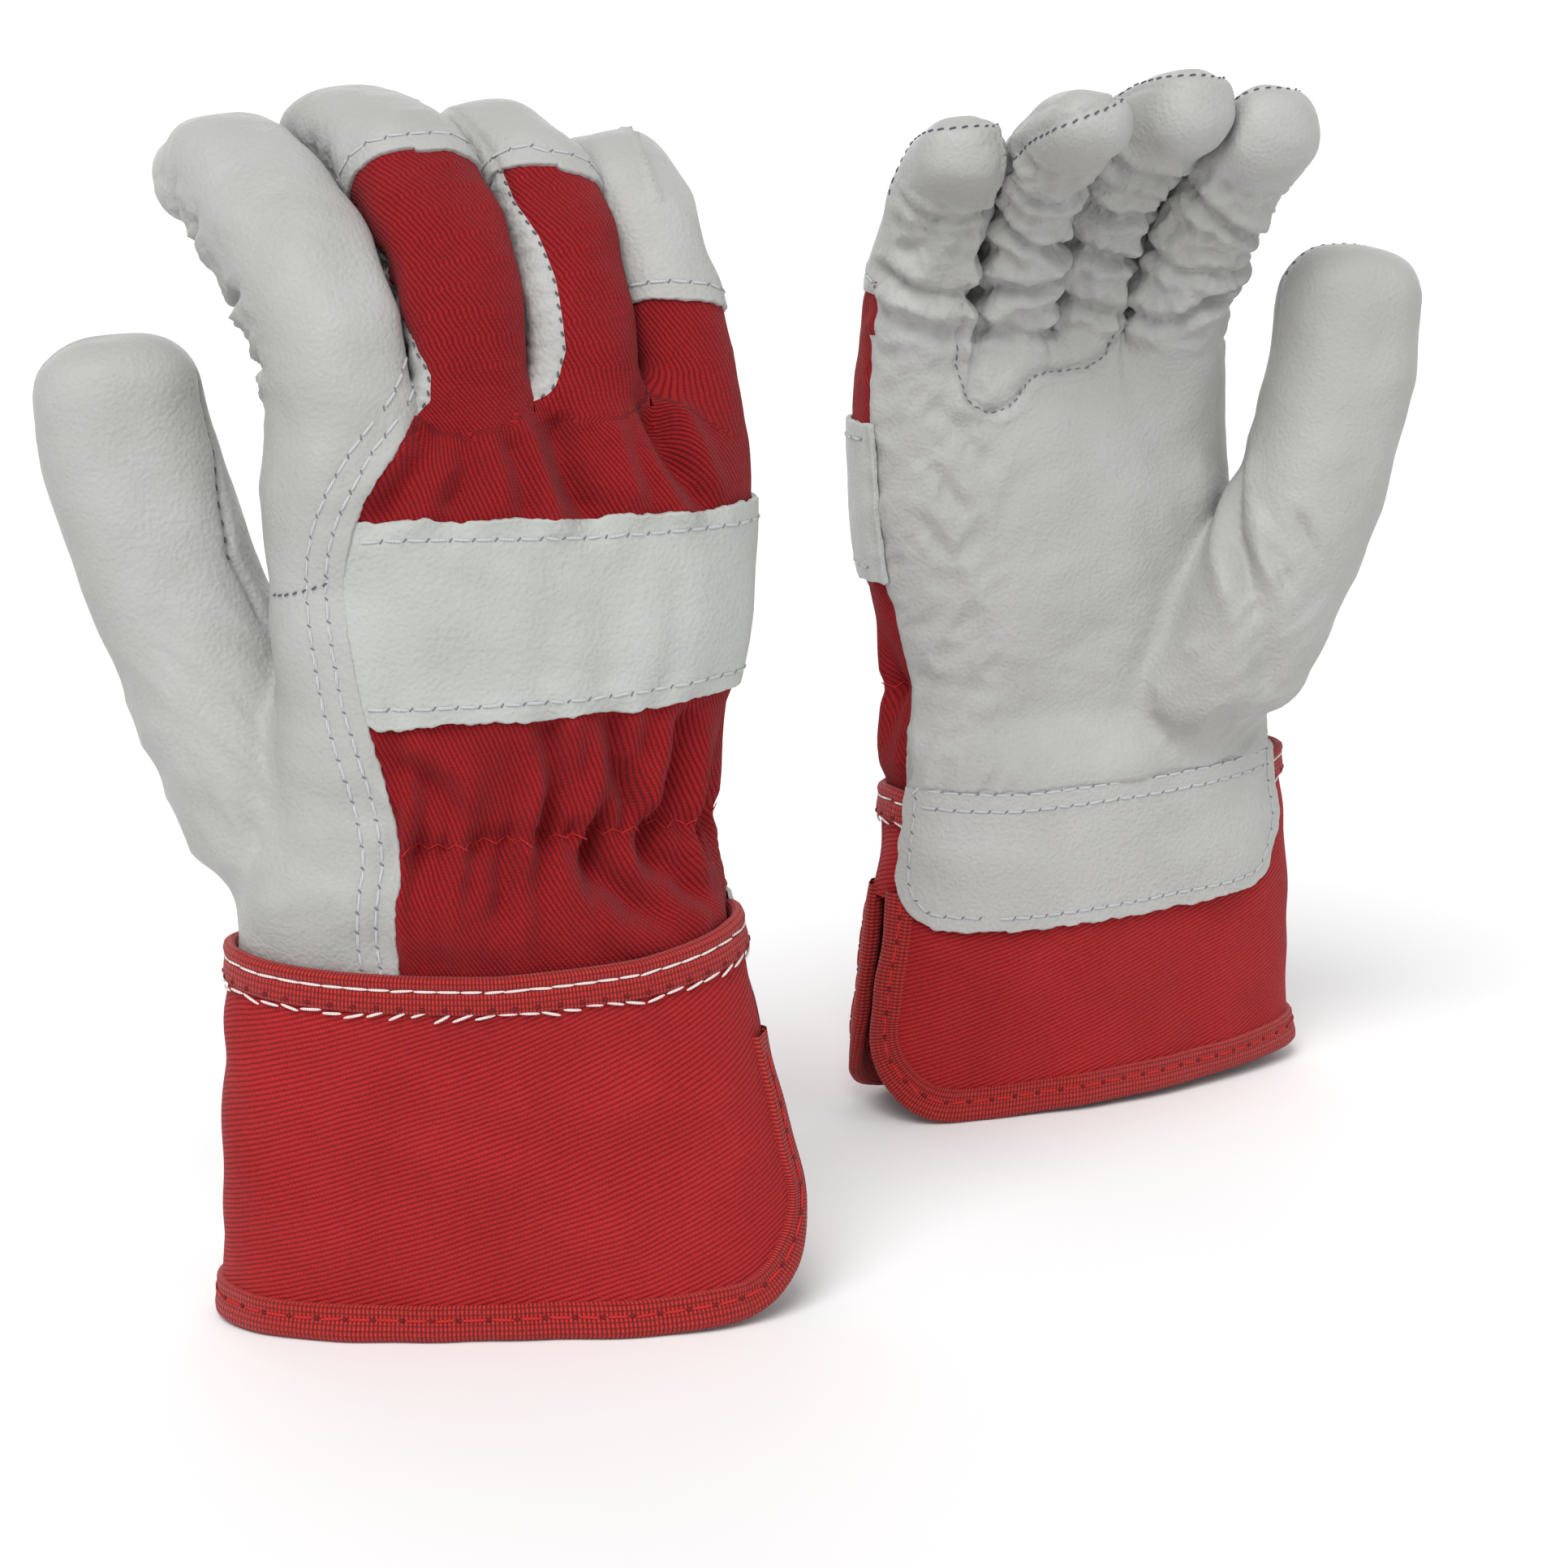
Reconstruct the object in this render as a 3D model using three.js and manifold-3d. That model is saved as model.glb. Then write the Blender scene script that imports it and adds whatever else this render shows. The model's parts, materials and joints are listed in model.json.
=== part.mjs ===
// A pair of leather-palm work gloves with safety cuffs, standing on their cuffs.
// Each glove is built in its own frame, in millimetres: +X to the little-finger side, +Y out of
// the palm, +Z up from the hem to the fingertips. The near glove shows its back to -Y, and the
// far glove is turned round so that it shows its palm.

import * as THREE from 'three';
import { mergeVertices } from 'three/addons/utils/BufferGeometryUtils.js';
import Module from 'manifold-3d';

const wasm = await Module();
wasm.setup();

// ---- Driving dimensions ----

const LEATHER = 1.2; // thickness of the grain leather
const DRILL = 0.9; // cotton drill of the back
const CUFF_WALL = 1.4; // rubberised cuff fabric
const LINING = 0.8; // cotton palm lining
const TAPE = 1.0; // binding tape
const GAP = 0.35; // clearance between pieces that lie on each other
const CUFF_TOP = 70;
const CUFF_CORNER = 24; // radius of the cuff's corners at the slit
const SLIT_TOP = 50;
const TAPE_WIDTH = 7;
const PATCH_BOTTOM = 37;
const HAND_BOTTOM = 78; // the hand shell starts here, clear of the cuff as the wrist folds
const HAND_TOP = 174; // top of the back, just below the four finger hinges
const PALM_TOP = 169;
const STRAP_LOW = 119;
const STRAP_HIGH = 158;
const ELASTIC_HEIGHT = 97; // centre of the gathered wrist elastic
const ELASTIC_WIDTH = 9;
const TIP_DOME = 13; // length of the rounded end of a digit
const TIP_OPEN = 0.3; // the shells stop at this share of the width, where the tip seam is
const DEPTH_RATIO = 0.9; // a digit's depth over its width
const PLACES = {
  near: { yaw: 20, x: -58, y: 0 },
  far: { yaw: 204, x: 66, y: 150 },
};

// Sections of the hand shell: height, centre across, half width, half depth.
const HAND = [
  [70, 0, 49, 21],
  [84, 1, 46, 20],
  [98, 2, 42, 19],
  [120, 4, 46, 20],
  [145, 6, 46.5, 20],
  [174, 7, 46, 15.5],
];

// Sections of the cuff: height, centre across, half width, half depth, turn in degrees.
const CUFFS = {
  near: [
    [0, 5, 57, 20, -16],
    [70, 0, 50, 21, -10],
  ],
  far: [
    [0, -1, 58, 20, 4],
    [70, -3, 50, 21, 3],
  ],
};

// Spines of the digits: across, out of the palm, up, half width.
const DIGITS = {
  near: {
    index: [[-28, 2, 176, 11], [-28, 3, 188, 11.5], [-31, 10, 204, 12], [-36, 22, 215, 12], [-42, 38, 220, 11.5]],
    middle: [[-4.5, 1, 176, 10.6], [-4.8, 2, 192, 11], [-5.5, 9, 208, 11.3], [-8.5, 20, 219, 11.2], [-14, 38, 223, 10.6]],
    ring: [[18.8, 1, 176, 10.6], [19.3, 2, 190, 10.8], [19.6, 8, 205, 10.8], [17.5, 17, 215, 10.4], [13, 33, 219, 10]],
    little: [[41.7, 3, 176, 10.2], [42.4, 4, 186, 10.4], [42, 8, 200, 10.2], [40, 13, 211, 9.8], [36.5, 24, 218, 9.2]],
    thumb: [[-36, 15, 98, 17], [-44, 20, 120, 18], [-51, 24, 138, 18], [-57, 26, 155, 17.5], [-62, 27, 174, 16]],
  },
  far: {
    index: [[-23.5, 4, 176, 11], [-22.5, 7, 186, 11.2], [-22, 19, 201, 11.5], [-23, 33, 212, 11.5], [-24, 44, 218, 11]],
    middle: [[0.2, 4, 176, 10.8], [1.3, 7, 188, 11], [2, 17, 205, 11.2], [1, 30, 218, 11.2], [-1, 44, 223, 10.5]],
    ring: [[22.8, 4, 176, 10.5], [23.8, 7, 184, 10.4], [25, 18, 200, 10.2], [26, 31, 213, 9.8], [28, 47, 220, 9.4]],
    little: [[44.7, 4.5, 176, 10], [45.4, 6, 182, 10.2], [46, 11, 196, 10.2], [48, 18, 208, 10], [50.5, 26, 215, 9.8]],
    thumb: [[-30, 17, 96, 17], [-38, 23, 116, 17.5], [-46, 27, 138, 17.5], [-52, 28, 158, 17], [-56, 28, 174, 16]],
  },
};

// The share of each finger's length, from knuckle to tip, where its leather cap starts.
const CAP_START = { middle: 0.55, ring: 0.52, little: 0.42 };

// ---- Materials ----

const COLOURS = {
  leather: [0xd4d4cf, 0.55],
  drill: [0x8c2226, 0.9],
  cuffCloth: [0xa92c2e, 0.85],
  tape: [0xb02e2c, 0.8],
  lining: [0xe8e2d4, 0.95],
  elastic: [0xd9d6cf, 0.8],
};

function material(name) {
  const [color, roughness] = COLOURS[name];
  return new THREE.MeshStandardMaterial({ color, roughness, metalness: 0 });
}

// ---- Shell geometry ----

// The two ends of a range and every multiple of a step between them, so that walls over the same
// surface share their facets and keep their clearance.
function stations([from, to], step) {
  const list = [from];
  for (let i = Math.floor(from / step) + 1; i * step < to - 1e-6; i++) {
    if (i * step > from + 1e-6) list.push(i * step);
  }
  return [...list, to];
}

// A closed wall between two skins. at(s, a, k) gives the point at station s along the wall and
// station a across it, on the outer skin for k = 0 and on the inner skin for k = 1.
function wall(along, across, at) {
  const rows = along.length - 1;
  const columns = across.length - 1;
  const vertices = [];
  for (const s of along) {
    for (const a of across) vertices.push(...at(s, a, 0).toArray(), ...at(s, a, 1).toArray());
  }
  const index = (i, j, k) => (i * (columns + 1) + j) * 2 + k;
  const faces = [];
  const quad = (a, b, c, d) => faces.push(a, b, c, a, c, d);
  for (let i = 0; i < rows; i++) {
    for (let j = 0; j < columns; j++) {
      quad(index(i, j, 0), index(i, j + 1, 0), index(i + 1, j + 1, 0), index(i + 1, j, 0));
      quad(index(i, j, 1), index(i + 1, j, 1), index(i + 1, j + 1, 1), index(i, j + 1, 1));
    }
    quad(index(i, 0, 0), index(i + 1, 0, 0), index(i + 1, 0, 1), index(i, 0, 1));
    quad(index(i, columns, 0), index(i, columns, 1), index(i + 1, columns, 1), index(i + 1, columns, 0));
  }
  for (let j = 0; j < columns; j++) {
    quad(index(0, j, 0), index(0, j, 1), index(0, j + 1, 1), index(0, j + 1, 0));
    quad(index(rows, j, 0), index(rows, j + 1, 0), index(rows, j + 1, 1), index(rows, j, 1));
  }
  return facingOut(vertices, faces);
}

// A solid through matching rings of points. outline is a flat drawing of one ring, for its ends.
function loft(rings, outline) {
  const count = outline.length;
  const vertices = rings.flat().flatMap((point) => point.toArray());
  const faces = [];
  for (let i = 1; i < rings.length; i++) {
    const [low, high] = [(i - 1) * count, i * count];
    for (let j = 0; j < count; j++) {
      const k = (j + 1) % count;
      faces.push(low + j, high + k, low + k, low + j, high + j, high + k);
    }
  }
  const turned = THREE.ShapeUtils.isClockWise(outline);
  const end = (rings.length - 1) * count;
  for (const triangle of THREE.ShapeUtils.triangulateShape(outline, [])) {
    const clockwise = THREE.ShapeUtils.isClockWise(triangle.map((corner) => outline[corner]));
    const [a, b, c] = clockwise === turned ? triangle : triangle.toReversed();
    faces.push(a, b, c, end + a, end + c, end + b);
  }
  return facingOut(vertices, faces);
}

function facingOut(vertices, faces) {
  const corner = (i) => new THREE.Vector3().fromArray(vertices, faces[i] * 3);
  let volume = 0;
  for (let i = 0; i < faces.length; i += 3) {
    volume += corner(i).dot(corner(i + 1).cross(corner(i + 2)));
  }
  if (volume < 0) {
    for (let i = 0; i < faces.length; i += 3) {
      [faces[i + 1], faces[i + 2]] = [faces[i + 2], faces[i + 1]];
    }
  }
  const geometry = new THREE.BufferGeometry();
  geometry.setAttribute('position', new THREE.Float32BufferAttribute(vertices, 3));
  geometry.setIndex(faces);
  geometry.computeVertexNormals();
  return geometry;
}

function solid(geometry) {
  const bare = new THREE.BufferGeometry();
  bare.setAttribute('position', geometry.getAttribute('position'));
  bare.setIndex(geometry.index);
  const merged = mergeVertices(bare, 1e-3);
  const vertProperties = merged.attributes.position.array;
  const triVerts = new Uint32Array(merged.index.array);
  return new wasm.Manifold(new wasm.Mesh({ numProp: 3, vertProperties, triVerts }));
}

// The largest body that is left of a geometry when the cutters are taken away.
function cut(geometry, cutters) {
  let left = solid(geometry);
  for (const cutter of cutters) left = left.subtract(cutter);
  const bodies = left.decompose().sort((a, b) => b.volume() - a.volume());
  const mesh = bodies[0].getMesh();
  return facingOut(Array.from(mesh.vertProperties), Array.from(mesh.triVerts));
}

const radians = THREE.MathUtils.degToRad;

// ---- Hand and cuff sections ----

function between(rows, height) {
  let i = 0;
  while (i < rows.length - 2 && rows[i + 1][0] < height) i++;
  const [low, high] = [rows[i], rows[i + 1]];
  const share = (height - low[0]) / (high[0] - low[0]);
  return low.map((value, k) => THREE.MathUtils.lerp(value, high[k], share));
}

// A point of an oval section. The angle runs from the back (0) over the little-finger side (90),
// the palm (180) and the thumb side (270). depth is measured inwards from the section.
function oval(rows, height, angle, depth) {
  const [, across, halfWidth, halfDepth, turn = 0] = between(rows, height);
  const a = radians(angle);
  const round = (x) => Math.sign(x) * Math.abs(x) ** 0.85;
  const x = (halfWidth - depth) * round(Math.sin(a));
  const y = -(halfDepth - depth) * round(Math.cos(a));
  const t = radians(turn);
  return new THREE.Vector3(
    across + x * Math.cos(t) - y * Math.sin(t),
    x * Math.sin(t) + y * Math.cos(t),
    height,
  );
}

// A band of an oval section between two heights and two angles, with its outer skin at depth.
function band(rows, [low, high], angles, depth, thick, step = 15) {
  const inside = rows.map(([height]) => height).filter((height) => height > low && height < high);
  return wall([low, ...inside, high], stations(angles, step), (height, angle, k) =>
    oval(rows, height, angle, depth + k * thick),
  );
}

// ---- Digits ----

// The frame of a digit's section at share t of its length, dome included.
function digitFrame(points) {
  const spine = points.map(([x, y, z]) => new THREE.Vector3(x, y, z));
  const last = spine.at(-1);
  const forward = last.clone().sub(spine.at(-2)).normalize();
  const tipWidth = points.at(-1)[3];
  spine.push(last.clone().addScaledVector(forward, tipWidth));
  const curve = new THREE.CatmullRomCurve3(spine, false, 'centripetal');
  const widths = [...points.map((p) => p[3]), tipWidth];
  const length = curve.getLength();
  return (t) => {
    const centre = curve.getPointAt(t);
    const tangent = curve.getTangentAt(t);
    const side = new THREE.Vector3(1, 0, 0).addScaledVector(tangent, -tangent.x).normalize();
    const palmar = new THREE.Vector3().crossVectors(tangent, side);
    const u = curve.getUtoTmapping(t) * (widths.length - 1);
    const i = Math.min(Math.floor(u), widths.length - 2);
    let half = THREE.MathUtils.lerp(widths[i], widths[i + 1], u - i);
    const dome = 1 - ((1 - t) * length) / TIP_DOME;
    if (dome > 0) half *= Math.max(TIP_OPEN, Math.sqrt(1 - dome * dome));
    return { centre, side, palmar, half };
  };
}

// A part of a digit's wall between two shares of its length. Angle 0 is its back, 180 its palm.
function stall(frame, [t0, t1], angles, depth, thick) {
  const tip = t1 < 1 ? [] : [0.93, 0.98];
  const along = [...stations([t0, t1], 1 / 6), ...tip].sort((a, b) => a - b);
  return wall(along, stations(angles, 30), (t, degrees, k) => {
    const { centre, side, palmar, half } = frame(t);
    const angle = radians(degrees);
    const inward = depth + k * thick;
    return centre
      .clone()
      .addScaledVector(side, (half - inward) * Math.sin(angle))
      .addScaledVector(palmar, -(half * DEPTH_RATIO - inward) * Math.cos(angle));
  });
}

// A solid digit with extra all round, which clears the way for the real one.
function digitCutter(frame, [t0, t1], extra) {
  const rings = [];
  for (let i = 0; i <= 7; i++) {
    const { centre, side, palmar, half } = frame(THREE.MathUtils.lerp(t0, t1, i / 7));
    const ring = [];
    for (let j = 0; j < 14; j++) {
      const angle = (2 * Math.PI * j) / 14;
      const point = centre
        .clone()
        .addScaledVector(side, (half + extra) * Math.sin(angle))
        .addScaledVector(palmar, -(half + extra) * Math.cos(angle));
      ring.push(point);
    }
    rings.push(ring);
  }
  const outline = rings[0].map((_, j) => new THREE.Vector2(Math.cos(j * 0.4488), Math.sin(j * 0.4488)));
  return solid(loft(rings, outline));
}

// ---- One glove ----

function glove(name) {
  const group = new THREE.Group();
  const { yaw, x, y } = PLACES[name];
  group.rotation.z = radians(yaw);
  group.position.set(x, y, 0);
  const add = (part, geometry, finish) => {
    const mesh = new THREE.Mesh(geometry, material(finish));
    mesh.name = `${name}_${part}`;
    group.add(mesh);
  };
  addCuff(add, CUFFS[name]);
  addHand(add, digitFrame(DIGITS[name].thumb));
  for (const [finger, points] of Object.entries(DIGITS[name])) {
    if (finger === 'thumb') addThumb(add, digitFrame(points));
    else addFinger(add, finger, digitFrame(points));
  }
  return group;
}

// The cuff's cloth is one strip that runs round from one edge of the little-finger slit to the
// other. point(x, height, depth) places a point x millimetres along the strip.
function cuffStrip(rows) {
  const angles = stations([96, 446], 7.5);
  const marks = [0];
  for (let i = 1; i < angles.length; i++) {
    const step = oval(rows, 20, angles[i], 0).distanceTo(oval(rows, 20, angles[i - 1], 0));
    marks.push(marks[i - 1] + step);
  }
  const point = (x, height, depth) => {
    let i = 0;
    while (i < marks.length - 2 && marks[i + 1] < x) i++;
    const share = (x - marks[i]) / (marks[i + 1] - marks[i]);
    const next = oval(rows, height, angles[i + 1], depth);
    return oval(rows, height, angles[i], depth).lerp(next, share);
  };
  return { marks, length: marks.at(-1), point };
}

// Points along the cuff's edge, down one side of the slit, round both corners and up the other.
// Each is [x, height, inward x, inward height].
function hemPath(strip) {
  const r = CUFF_CORNER;
  const corner = [];
  for (let i = 0; i <= 8; i++) {
    const turn = radians((90 * i) / 8);
    corner.push([r - r * Math.cos(turn), r - r * Math.sin(turn), Math.cos(turn), Math.sin(turn)]);
  }
  const left = [[0, SLIT_TOP, 1, 0], ...corner];
  const right = left.map(([x, height, dx, dy]) => [strip.length - x, height, -dx, dy]).reverse();
  const bottom = strip.marks.filter((x) => x > r + 1 && x < strip.length - r - 1);
  return [...left, ...bottom.map((x) => [x, 0, 0, 1]), ...right];
}

function addCuff(add, rows) {
  const strip = cuffStrip(rows);
  const fold = 1.4;
  const path = hemPath(strip);

  // The cloth stops just inside the fold of the hem tape.
  const edge = path.map(([x, height, dx, dy]) => [x + fold * dx + GAP * dx, height + (fold + GAP) * dy]);
  const lows = new Map(edge.filter(([, height]) => height < SLIT_TOP).map(([x, height]) => [x, height]));
  const cloth = wall([0, 0.5, 1], [...lows.keys()], (s, x, k) =>
    strip.point(x, THREE.MathUtils.lerp(lows.get(x), CUFF_TOP, s), k * CUFF_WALL),
  );
  add('cuff_cloth', cloth, 'cuffCloth');

  // The hem tape is folded round the edge, so its section is a U.
  const outer = -TAPE - 2 * GAP;
  const inner = CUFF_WALL + 2 * GAP + TAPE;
  const profile = [
    [outer, 0], [outer, TAPE_WIDTH], [outer + TAPE, TAPE_WIDTH], [outer + TAPE, fold],
    [inner - TAPE, fold], [inner - TAPE, TAPE_WIDTH], [inner, TAPE_WIDTH], [inner, 0],
  ];
  const rings = path.map(([x, height, dx, dy]) =>
    profile.map(([depth, inward]) => strip.point(x + inward * dx, height + inward * dy, depth)),
  );
  add('cuff_hem_tape', loft(rings, profile.map(([depth, inward]) => new THREE.Vector2(depth, inward))), 'tape');

  const round = [96, 455.4];
  add('cuff_top_tape', band(rows, [CUFF_TOP - TAPE_WIDTH, CUFF_TOP + 1], round, outer, TAPE, 7.5), 'tape');
  const patch = band(rows, [PATCH_BOTTOM, CUFF_TOP], [127.5, 247.5], outer - GAP - LEATHER, LEATHER, 7.5);
  add('pull_patch', patch, 'leather');
}

// Angles where the hand's leather meets the drill of the back.
const RADIAL_SEAM = -62;
const ULNAR_SEAM = 112;

const THUMB_JOINT = [-46, 21, 128];

function addHand(add, thumb) {
  // The thumb's opening is as wide as the thumb needs while it folds either way about its joint.
  const cutters = [-10, 0, 8, 17].map((turn) =>
    digitCutter(thumb, [0.02, 0.8], 1.6)
      .translate([0, -THUMB_JOINT[1], -THUMB_JOINT[2]])
      .rotate([-turn, 0, 0])
      .translate([0, THUMB_JOINT[1], THUMB_JOINT[2]]),
  );
  const palm = band(HAND, [HAND_BOTTOM, PALM_TOP], [ULNAR_SEAM, 360 + RADIAL_SEAM], 0, LEATHER);
  add('palm_leather', cut(palm, cutters), 'leather');
  const lining = band(HAND, [HAND_BOTTOM + 2, PALM_TOP - 6], [135, 225], LEATHER + GAP, LINING);
  add('palm_lining', cut(lining, cutters), 'lining');
  add('back_drill', band(HAND, [HAND_BOTTOM, HAND_TOP], [RADIAL_SEAM + 1, ULNAR_SEAM - 1], 0, DRILL), 'drill');
  const strap = band(HAND, [STRAP_LOW, STRAP_HIGH], [RADIAL_SEAM + 1, ULNAR_SEAM + 4], -LEATHER - GAP, LEATHER);
  add('knuckle_strap', strap, 'leather');
  const elastic = [ELASTIC_HEIGHT - ELASTIC_WIDTH / 2, ELASTIC_HEIGHT + ELASTIC_WIDTH / 2];
  add('wrist_elastic', band(HAND, elastic, [RADIAL_SEAM + 6, ULNAR_SEAM - 8], DRILL + GAP, 1), 'elastic');
}

// Shares of a finger's length where its pieces start, above the knuckle hinge: the palm side is
// higher, because it comes down as the finger folds.
const PALM_START = 0.08;
const BACK_START = 0.035;

function addFinger(add, finger, frame) {
  if (finger === 'index') {
    add('index_front', stall(frame, [PALM_START, 1], [87, 273], 0, LEATHER), 'leather');
    add('index_back', stall(frame, [BACK_START, 1], [-83, 83], 0, LEATHER), 'leather');
    return;
  }
  const cap = CAP_START[finger];
  add(`${finger}_front`, stall(frame, [PALM_START, 1], [66, 262], 0, LEATHER), 'leather');
  add(`${finger}_back`, stall(frame, [BACK_START, cap - 0.006], [-58, 62], 0, DRILL), 'drill');
  add(`${finger}_cap`, stall(frame, [cap + 0.006, 1], [-94, 62], 0, LEATHER), 'leather');
  add(`${finger}_fourchette`, stall(frame, [0.06, cap - 0.006], [-94, -63], 0, LEATHER), 'leather');
}

function addThumb(add, frame) {
  add('thumb_front', stall(frame, [0.14, 1], [87, 273], 0, LEATHER), 'leather');
  add('thumb_back', stall(frame, [0.14, 1], [-83, 83], 0, LEATHER), 'leather');
}

// ---- The pair ----

const pair = new THREE.Group();
for (const name of Object.keys(PLACES)) pair.add(glove(name));

// The origin is the middle of the pair's footprint box, on the surface that it stands on.
const box = new THREE.Box3().setFromObject(pair, true);
const middle = box.getCenter(new THREE.Vector3());
pair.position.set(-middle.x, -middle.y, -box.min.z);

export default pair;
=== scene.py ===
# Looks of the two standing work gloves. Each glove's skin is one smooth implicit surface, cut along
# its seams into leather and cloth panels. Lengths are millimetres in the glove's own frame
# (u to the little-finger side, v out of the palm, z up) until world() turns them into metres.

import json
import math

import bpy
import numpy as np
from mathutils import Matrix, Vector

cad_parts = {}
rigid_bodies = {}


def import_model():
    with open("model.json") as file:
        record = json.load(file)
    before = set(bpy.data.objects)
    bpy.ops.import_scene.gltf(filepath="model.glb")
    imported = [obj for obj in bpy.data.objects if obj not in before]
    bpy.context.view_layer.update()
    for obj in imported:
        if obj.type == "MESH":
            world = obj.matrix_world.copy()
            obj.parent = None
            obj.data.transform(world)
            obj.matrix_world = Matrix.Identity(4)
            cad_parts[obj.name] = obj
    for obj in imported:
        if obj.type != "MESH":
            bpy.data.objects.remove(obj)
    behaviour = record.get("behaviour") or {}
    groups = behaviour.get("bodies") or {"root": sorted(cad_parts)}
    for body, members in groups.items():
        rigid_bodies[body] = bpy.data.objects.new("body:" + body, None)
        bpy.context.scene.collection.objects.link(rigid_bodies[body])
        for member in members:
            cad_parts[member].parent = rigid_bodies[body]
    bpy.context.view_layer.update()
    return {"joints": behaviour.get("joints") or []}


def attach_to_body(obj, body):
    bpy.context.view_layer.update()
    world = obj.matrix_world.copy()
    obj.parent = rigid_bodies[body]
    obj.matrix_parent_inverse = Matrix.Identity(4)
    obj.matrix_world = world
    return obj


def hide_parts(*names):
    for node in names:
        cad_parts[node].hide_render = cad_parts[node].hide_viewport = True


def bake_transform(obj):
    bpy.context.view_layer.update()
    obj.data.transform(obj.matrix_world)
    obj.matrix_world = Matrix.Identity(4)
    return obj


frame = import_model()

MM = 0.001

# ---- the shape of the skin ----

# Sections of the hand: height, centre across, centre out of the palm, half width, half depth.
HAND = [
    (58, 0, 0, 48, 19),
    (72, 0, 0, 49.8, 20),
    (84, -2.8, 0, 49.2, 19.5),
    (97, 0.2, 0, 43.4, 18),
    (110, 3, 0, 44, 19),
    (125, 5, 0, 45.5, 20.5),
    (145, 7.2, 0, 45.2, 20.5),
    (163, 8, 0, 45, 18.5),
    (178, 8.5, 0, 43.5, 14),
]
HAND_TOP, HAND_END = 182, 14
# Exponents of the sections and of the rounded ends: 2 is an ellipse, and more is squarer.
HAND_POWER, HAND_END_POWER = 2.5, 2.4
DIGIT_POWER, DIGIT_END_POWER = 2.3, 2.5
# How much is taken off the hand's thumb side, by height.
THUMB_SIDE_TRIM = {
    "near": [(120, 0), (136, 2.5), (148, 2.5), (157, 0), (166, -3), (182, -3)],
    "far": [(120, 0), (136, 2), (148, 3.2), (166, 3.2), (176, 2), (186, 0)],
}
FINGERS = ("index", "middle", "ring", "little")
# The gap between two fingers and the roundness of its edges, and how softly digits meet the hand.
FINGER_GAP, GAP_ROUND = 0.7, 2.0
FINGER_BLEND, THUMB_BLEND = 7.0, 4.5

# Spines of the digits: across, out of the palm, up, half width.
DIGITS = {
    "near": {
        "index": [(-29, 0, 145, 12), (-28, 1, 160, 13), (-26.3, 1, 175, 14.2),
                  (-26.2, 3, 190, 14.9), (-29.3, 10, 204, 15), (-34.3, 22, 215.5, 14.4),
                  (-38.5, 36, 222.5, 13), (-40.5, 46, 221, 11.6), (-42.2, 54, 218.5, 11)],
        "middle": [(-5, 0, 145, 12), (-4.5, 0, 161, 12.6), (-4, 0, 180, 13), (-4, 2, 195, 13.6),
                   (-5, 9, 210, 14), (-8, 20, 221.5, 13.8), (-12, 33, 228, 12.8),
                   (-15, 44, 228, 11.6), (-17, 53, 227, 11)],
        "ring": [(18, 0, 145, 11.5), (18, 0, 160, 12), (19, 0, 178, 12.2), (19.5, 2, 193, 12.3),
                 (18.7, 8, 207, 12.4), (16, 17, 219, 12.4), (12.5, 28, 225.5, 11.9),
                 (11.3, 38, 226, 11), (11, 46, 225, 10.4)],
        "little": [(40, 1, 143, 10.5), (41, 2, 156, 11), (42, 2, 172, 11), (40.8, 4, 187, 10.9),
                   (38.4, 8, 200.5, 11.1), (36, 13.5, 212, 11.4), (34.8, 20.5, 218.5, 11.6),
                   (34, 28, 220.3, 11.2), (33.4, 35, 217, 9.8)],
        "thumb": [(-35, 10, 86, 15.5), (-39.5, 14, 103, 17.8), (-46.3, 20, 121, 17.1),
                  (-52, 24, 138.5, 16.6), (-57.2, 26, 154, 16.9), (-61, 27, 168.5, 17.1),
                  (-63.5, 27, 180, 16.5), (-65.5, 27, 193, 15.5)],
    },
    "far": {
        "index": [(-26, 0, 130, 12), (-25, 1, 142, 13), (-23, 1, 155, 13.8), (-20, 4, 168, 14.2),
                  (-17, 12, 186, 14), (-16.8, 23, 203, 13.4), (-20, 36, 216.5, 12.9),
                  (-21.5, 47, 224.7, 12.2), (-22, 55, 228.5, 11.5)],
        "middle": [(-3, 0, 135, 12), (-2.5, 0, 150, 12.5), (-1, 0, 166, 12.6), (1, 4, 181.5, 12.8),
                   (2, 13, 200, 12.7), (0.6, 25, 217, 12.5), (-1, 38, 226.5, 12),
                   (-2.4, 47, 229.5, 11.4), (-3.5, 55, 231, 10.8)],
        "ring": [(20, 0, 135, 11.2), (20.5, 0, 151, 11.7), (21.5, 0, 165.5, 11.5),
                 (22.5, 5, 181, 11.3), (23.7, 14, 197, 11.1), (24.7, 27, 213.5, 11),
                 (26, 42, 223.5, 10.4), (26.6, 54, 227.5, 9.6), (27, 61, 229, 9.2)],
        "little": [(40, 1, 137, 10.8), (41, 2, 152, 11.2), (42.5, 3, 167, 11.2),
                   (42.8, 6, 182, 11.8), (42, 11, 196.5, 12.3), (41.6, 17, 208.5, 12.3),
                   (42.5, 24, 216.5, 11.4), (44.5, 31, 220, 10.5), (46, 38, 221.5, 9.8)],
        "thumb": [(-22, 9, 76, 15), (-26, 14, 91, 18), (-33, 22, 109, 18), (-41.5, 26, 128, 17.2),
                  (-48.3, 28, 147, 16.8), (-52.8, 28, 165, 17), (-55, 28, 182, 16.8),
                  (-56, 28, 198, 15.8)],
    },
}
# How far a digit runs on below its first point, and over what length its tip is rounded.
ROOT_LENGTH = 20.0
TIP_LENGTH = {"index": 10, "middle": 10, "ring": 9.5, "little": 9, "thumb": 13}


def lerp(a, b, t):
    return a + (b - a) * t


def smooth(x, low, high):
    t = np.clip((x - low) / (high - low), 0, 1)
    return t * t * (3 - 2 * t)


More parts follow.
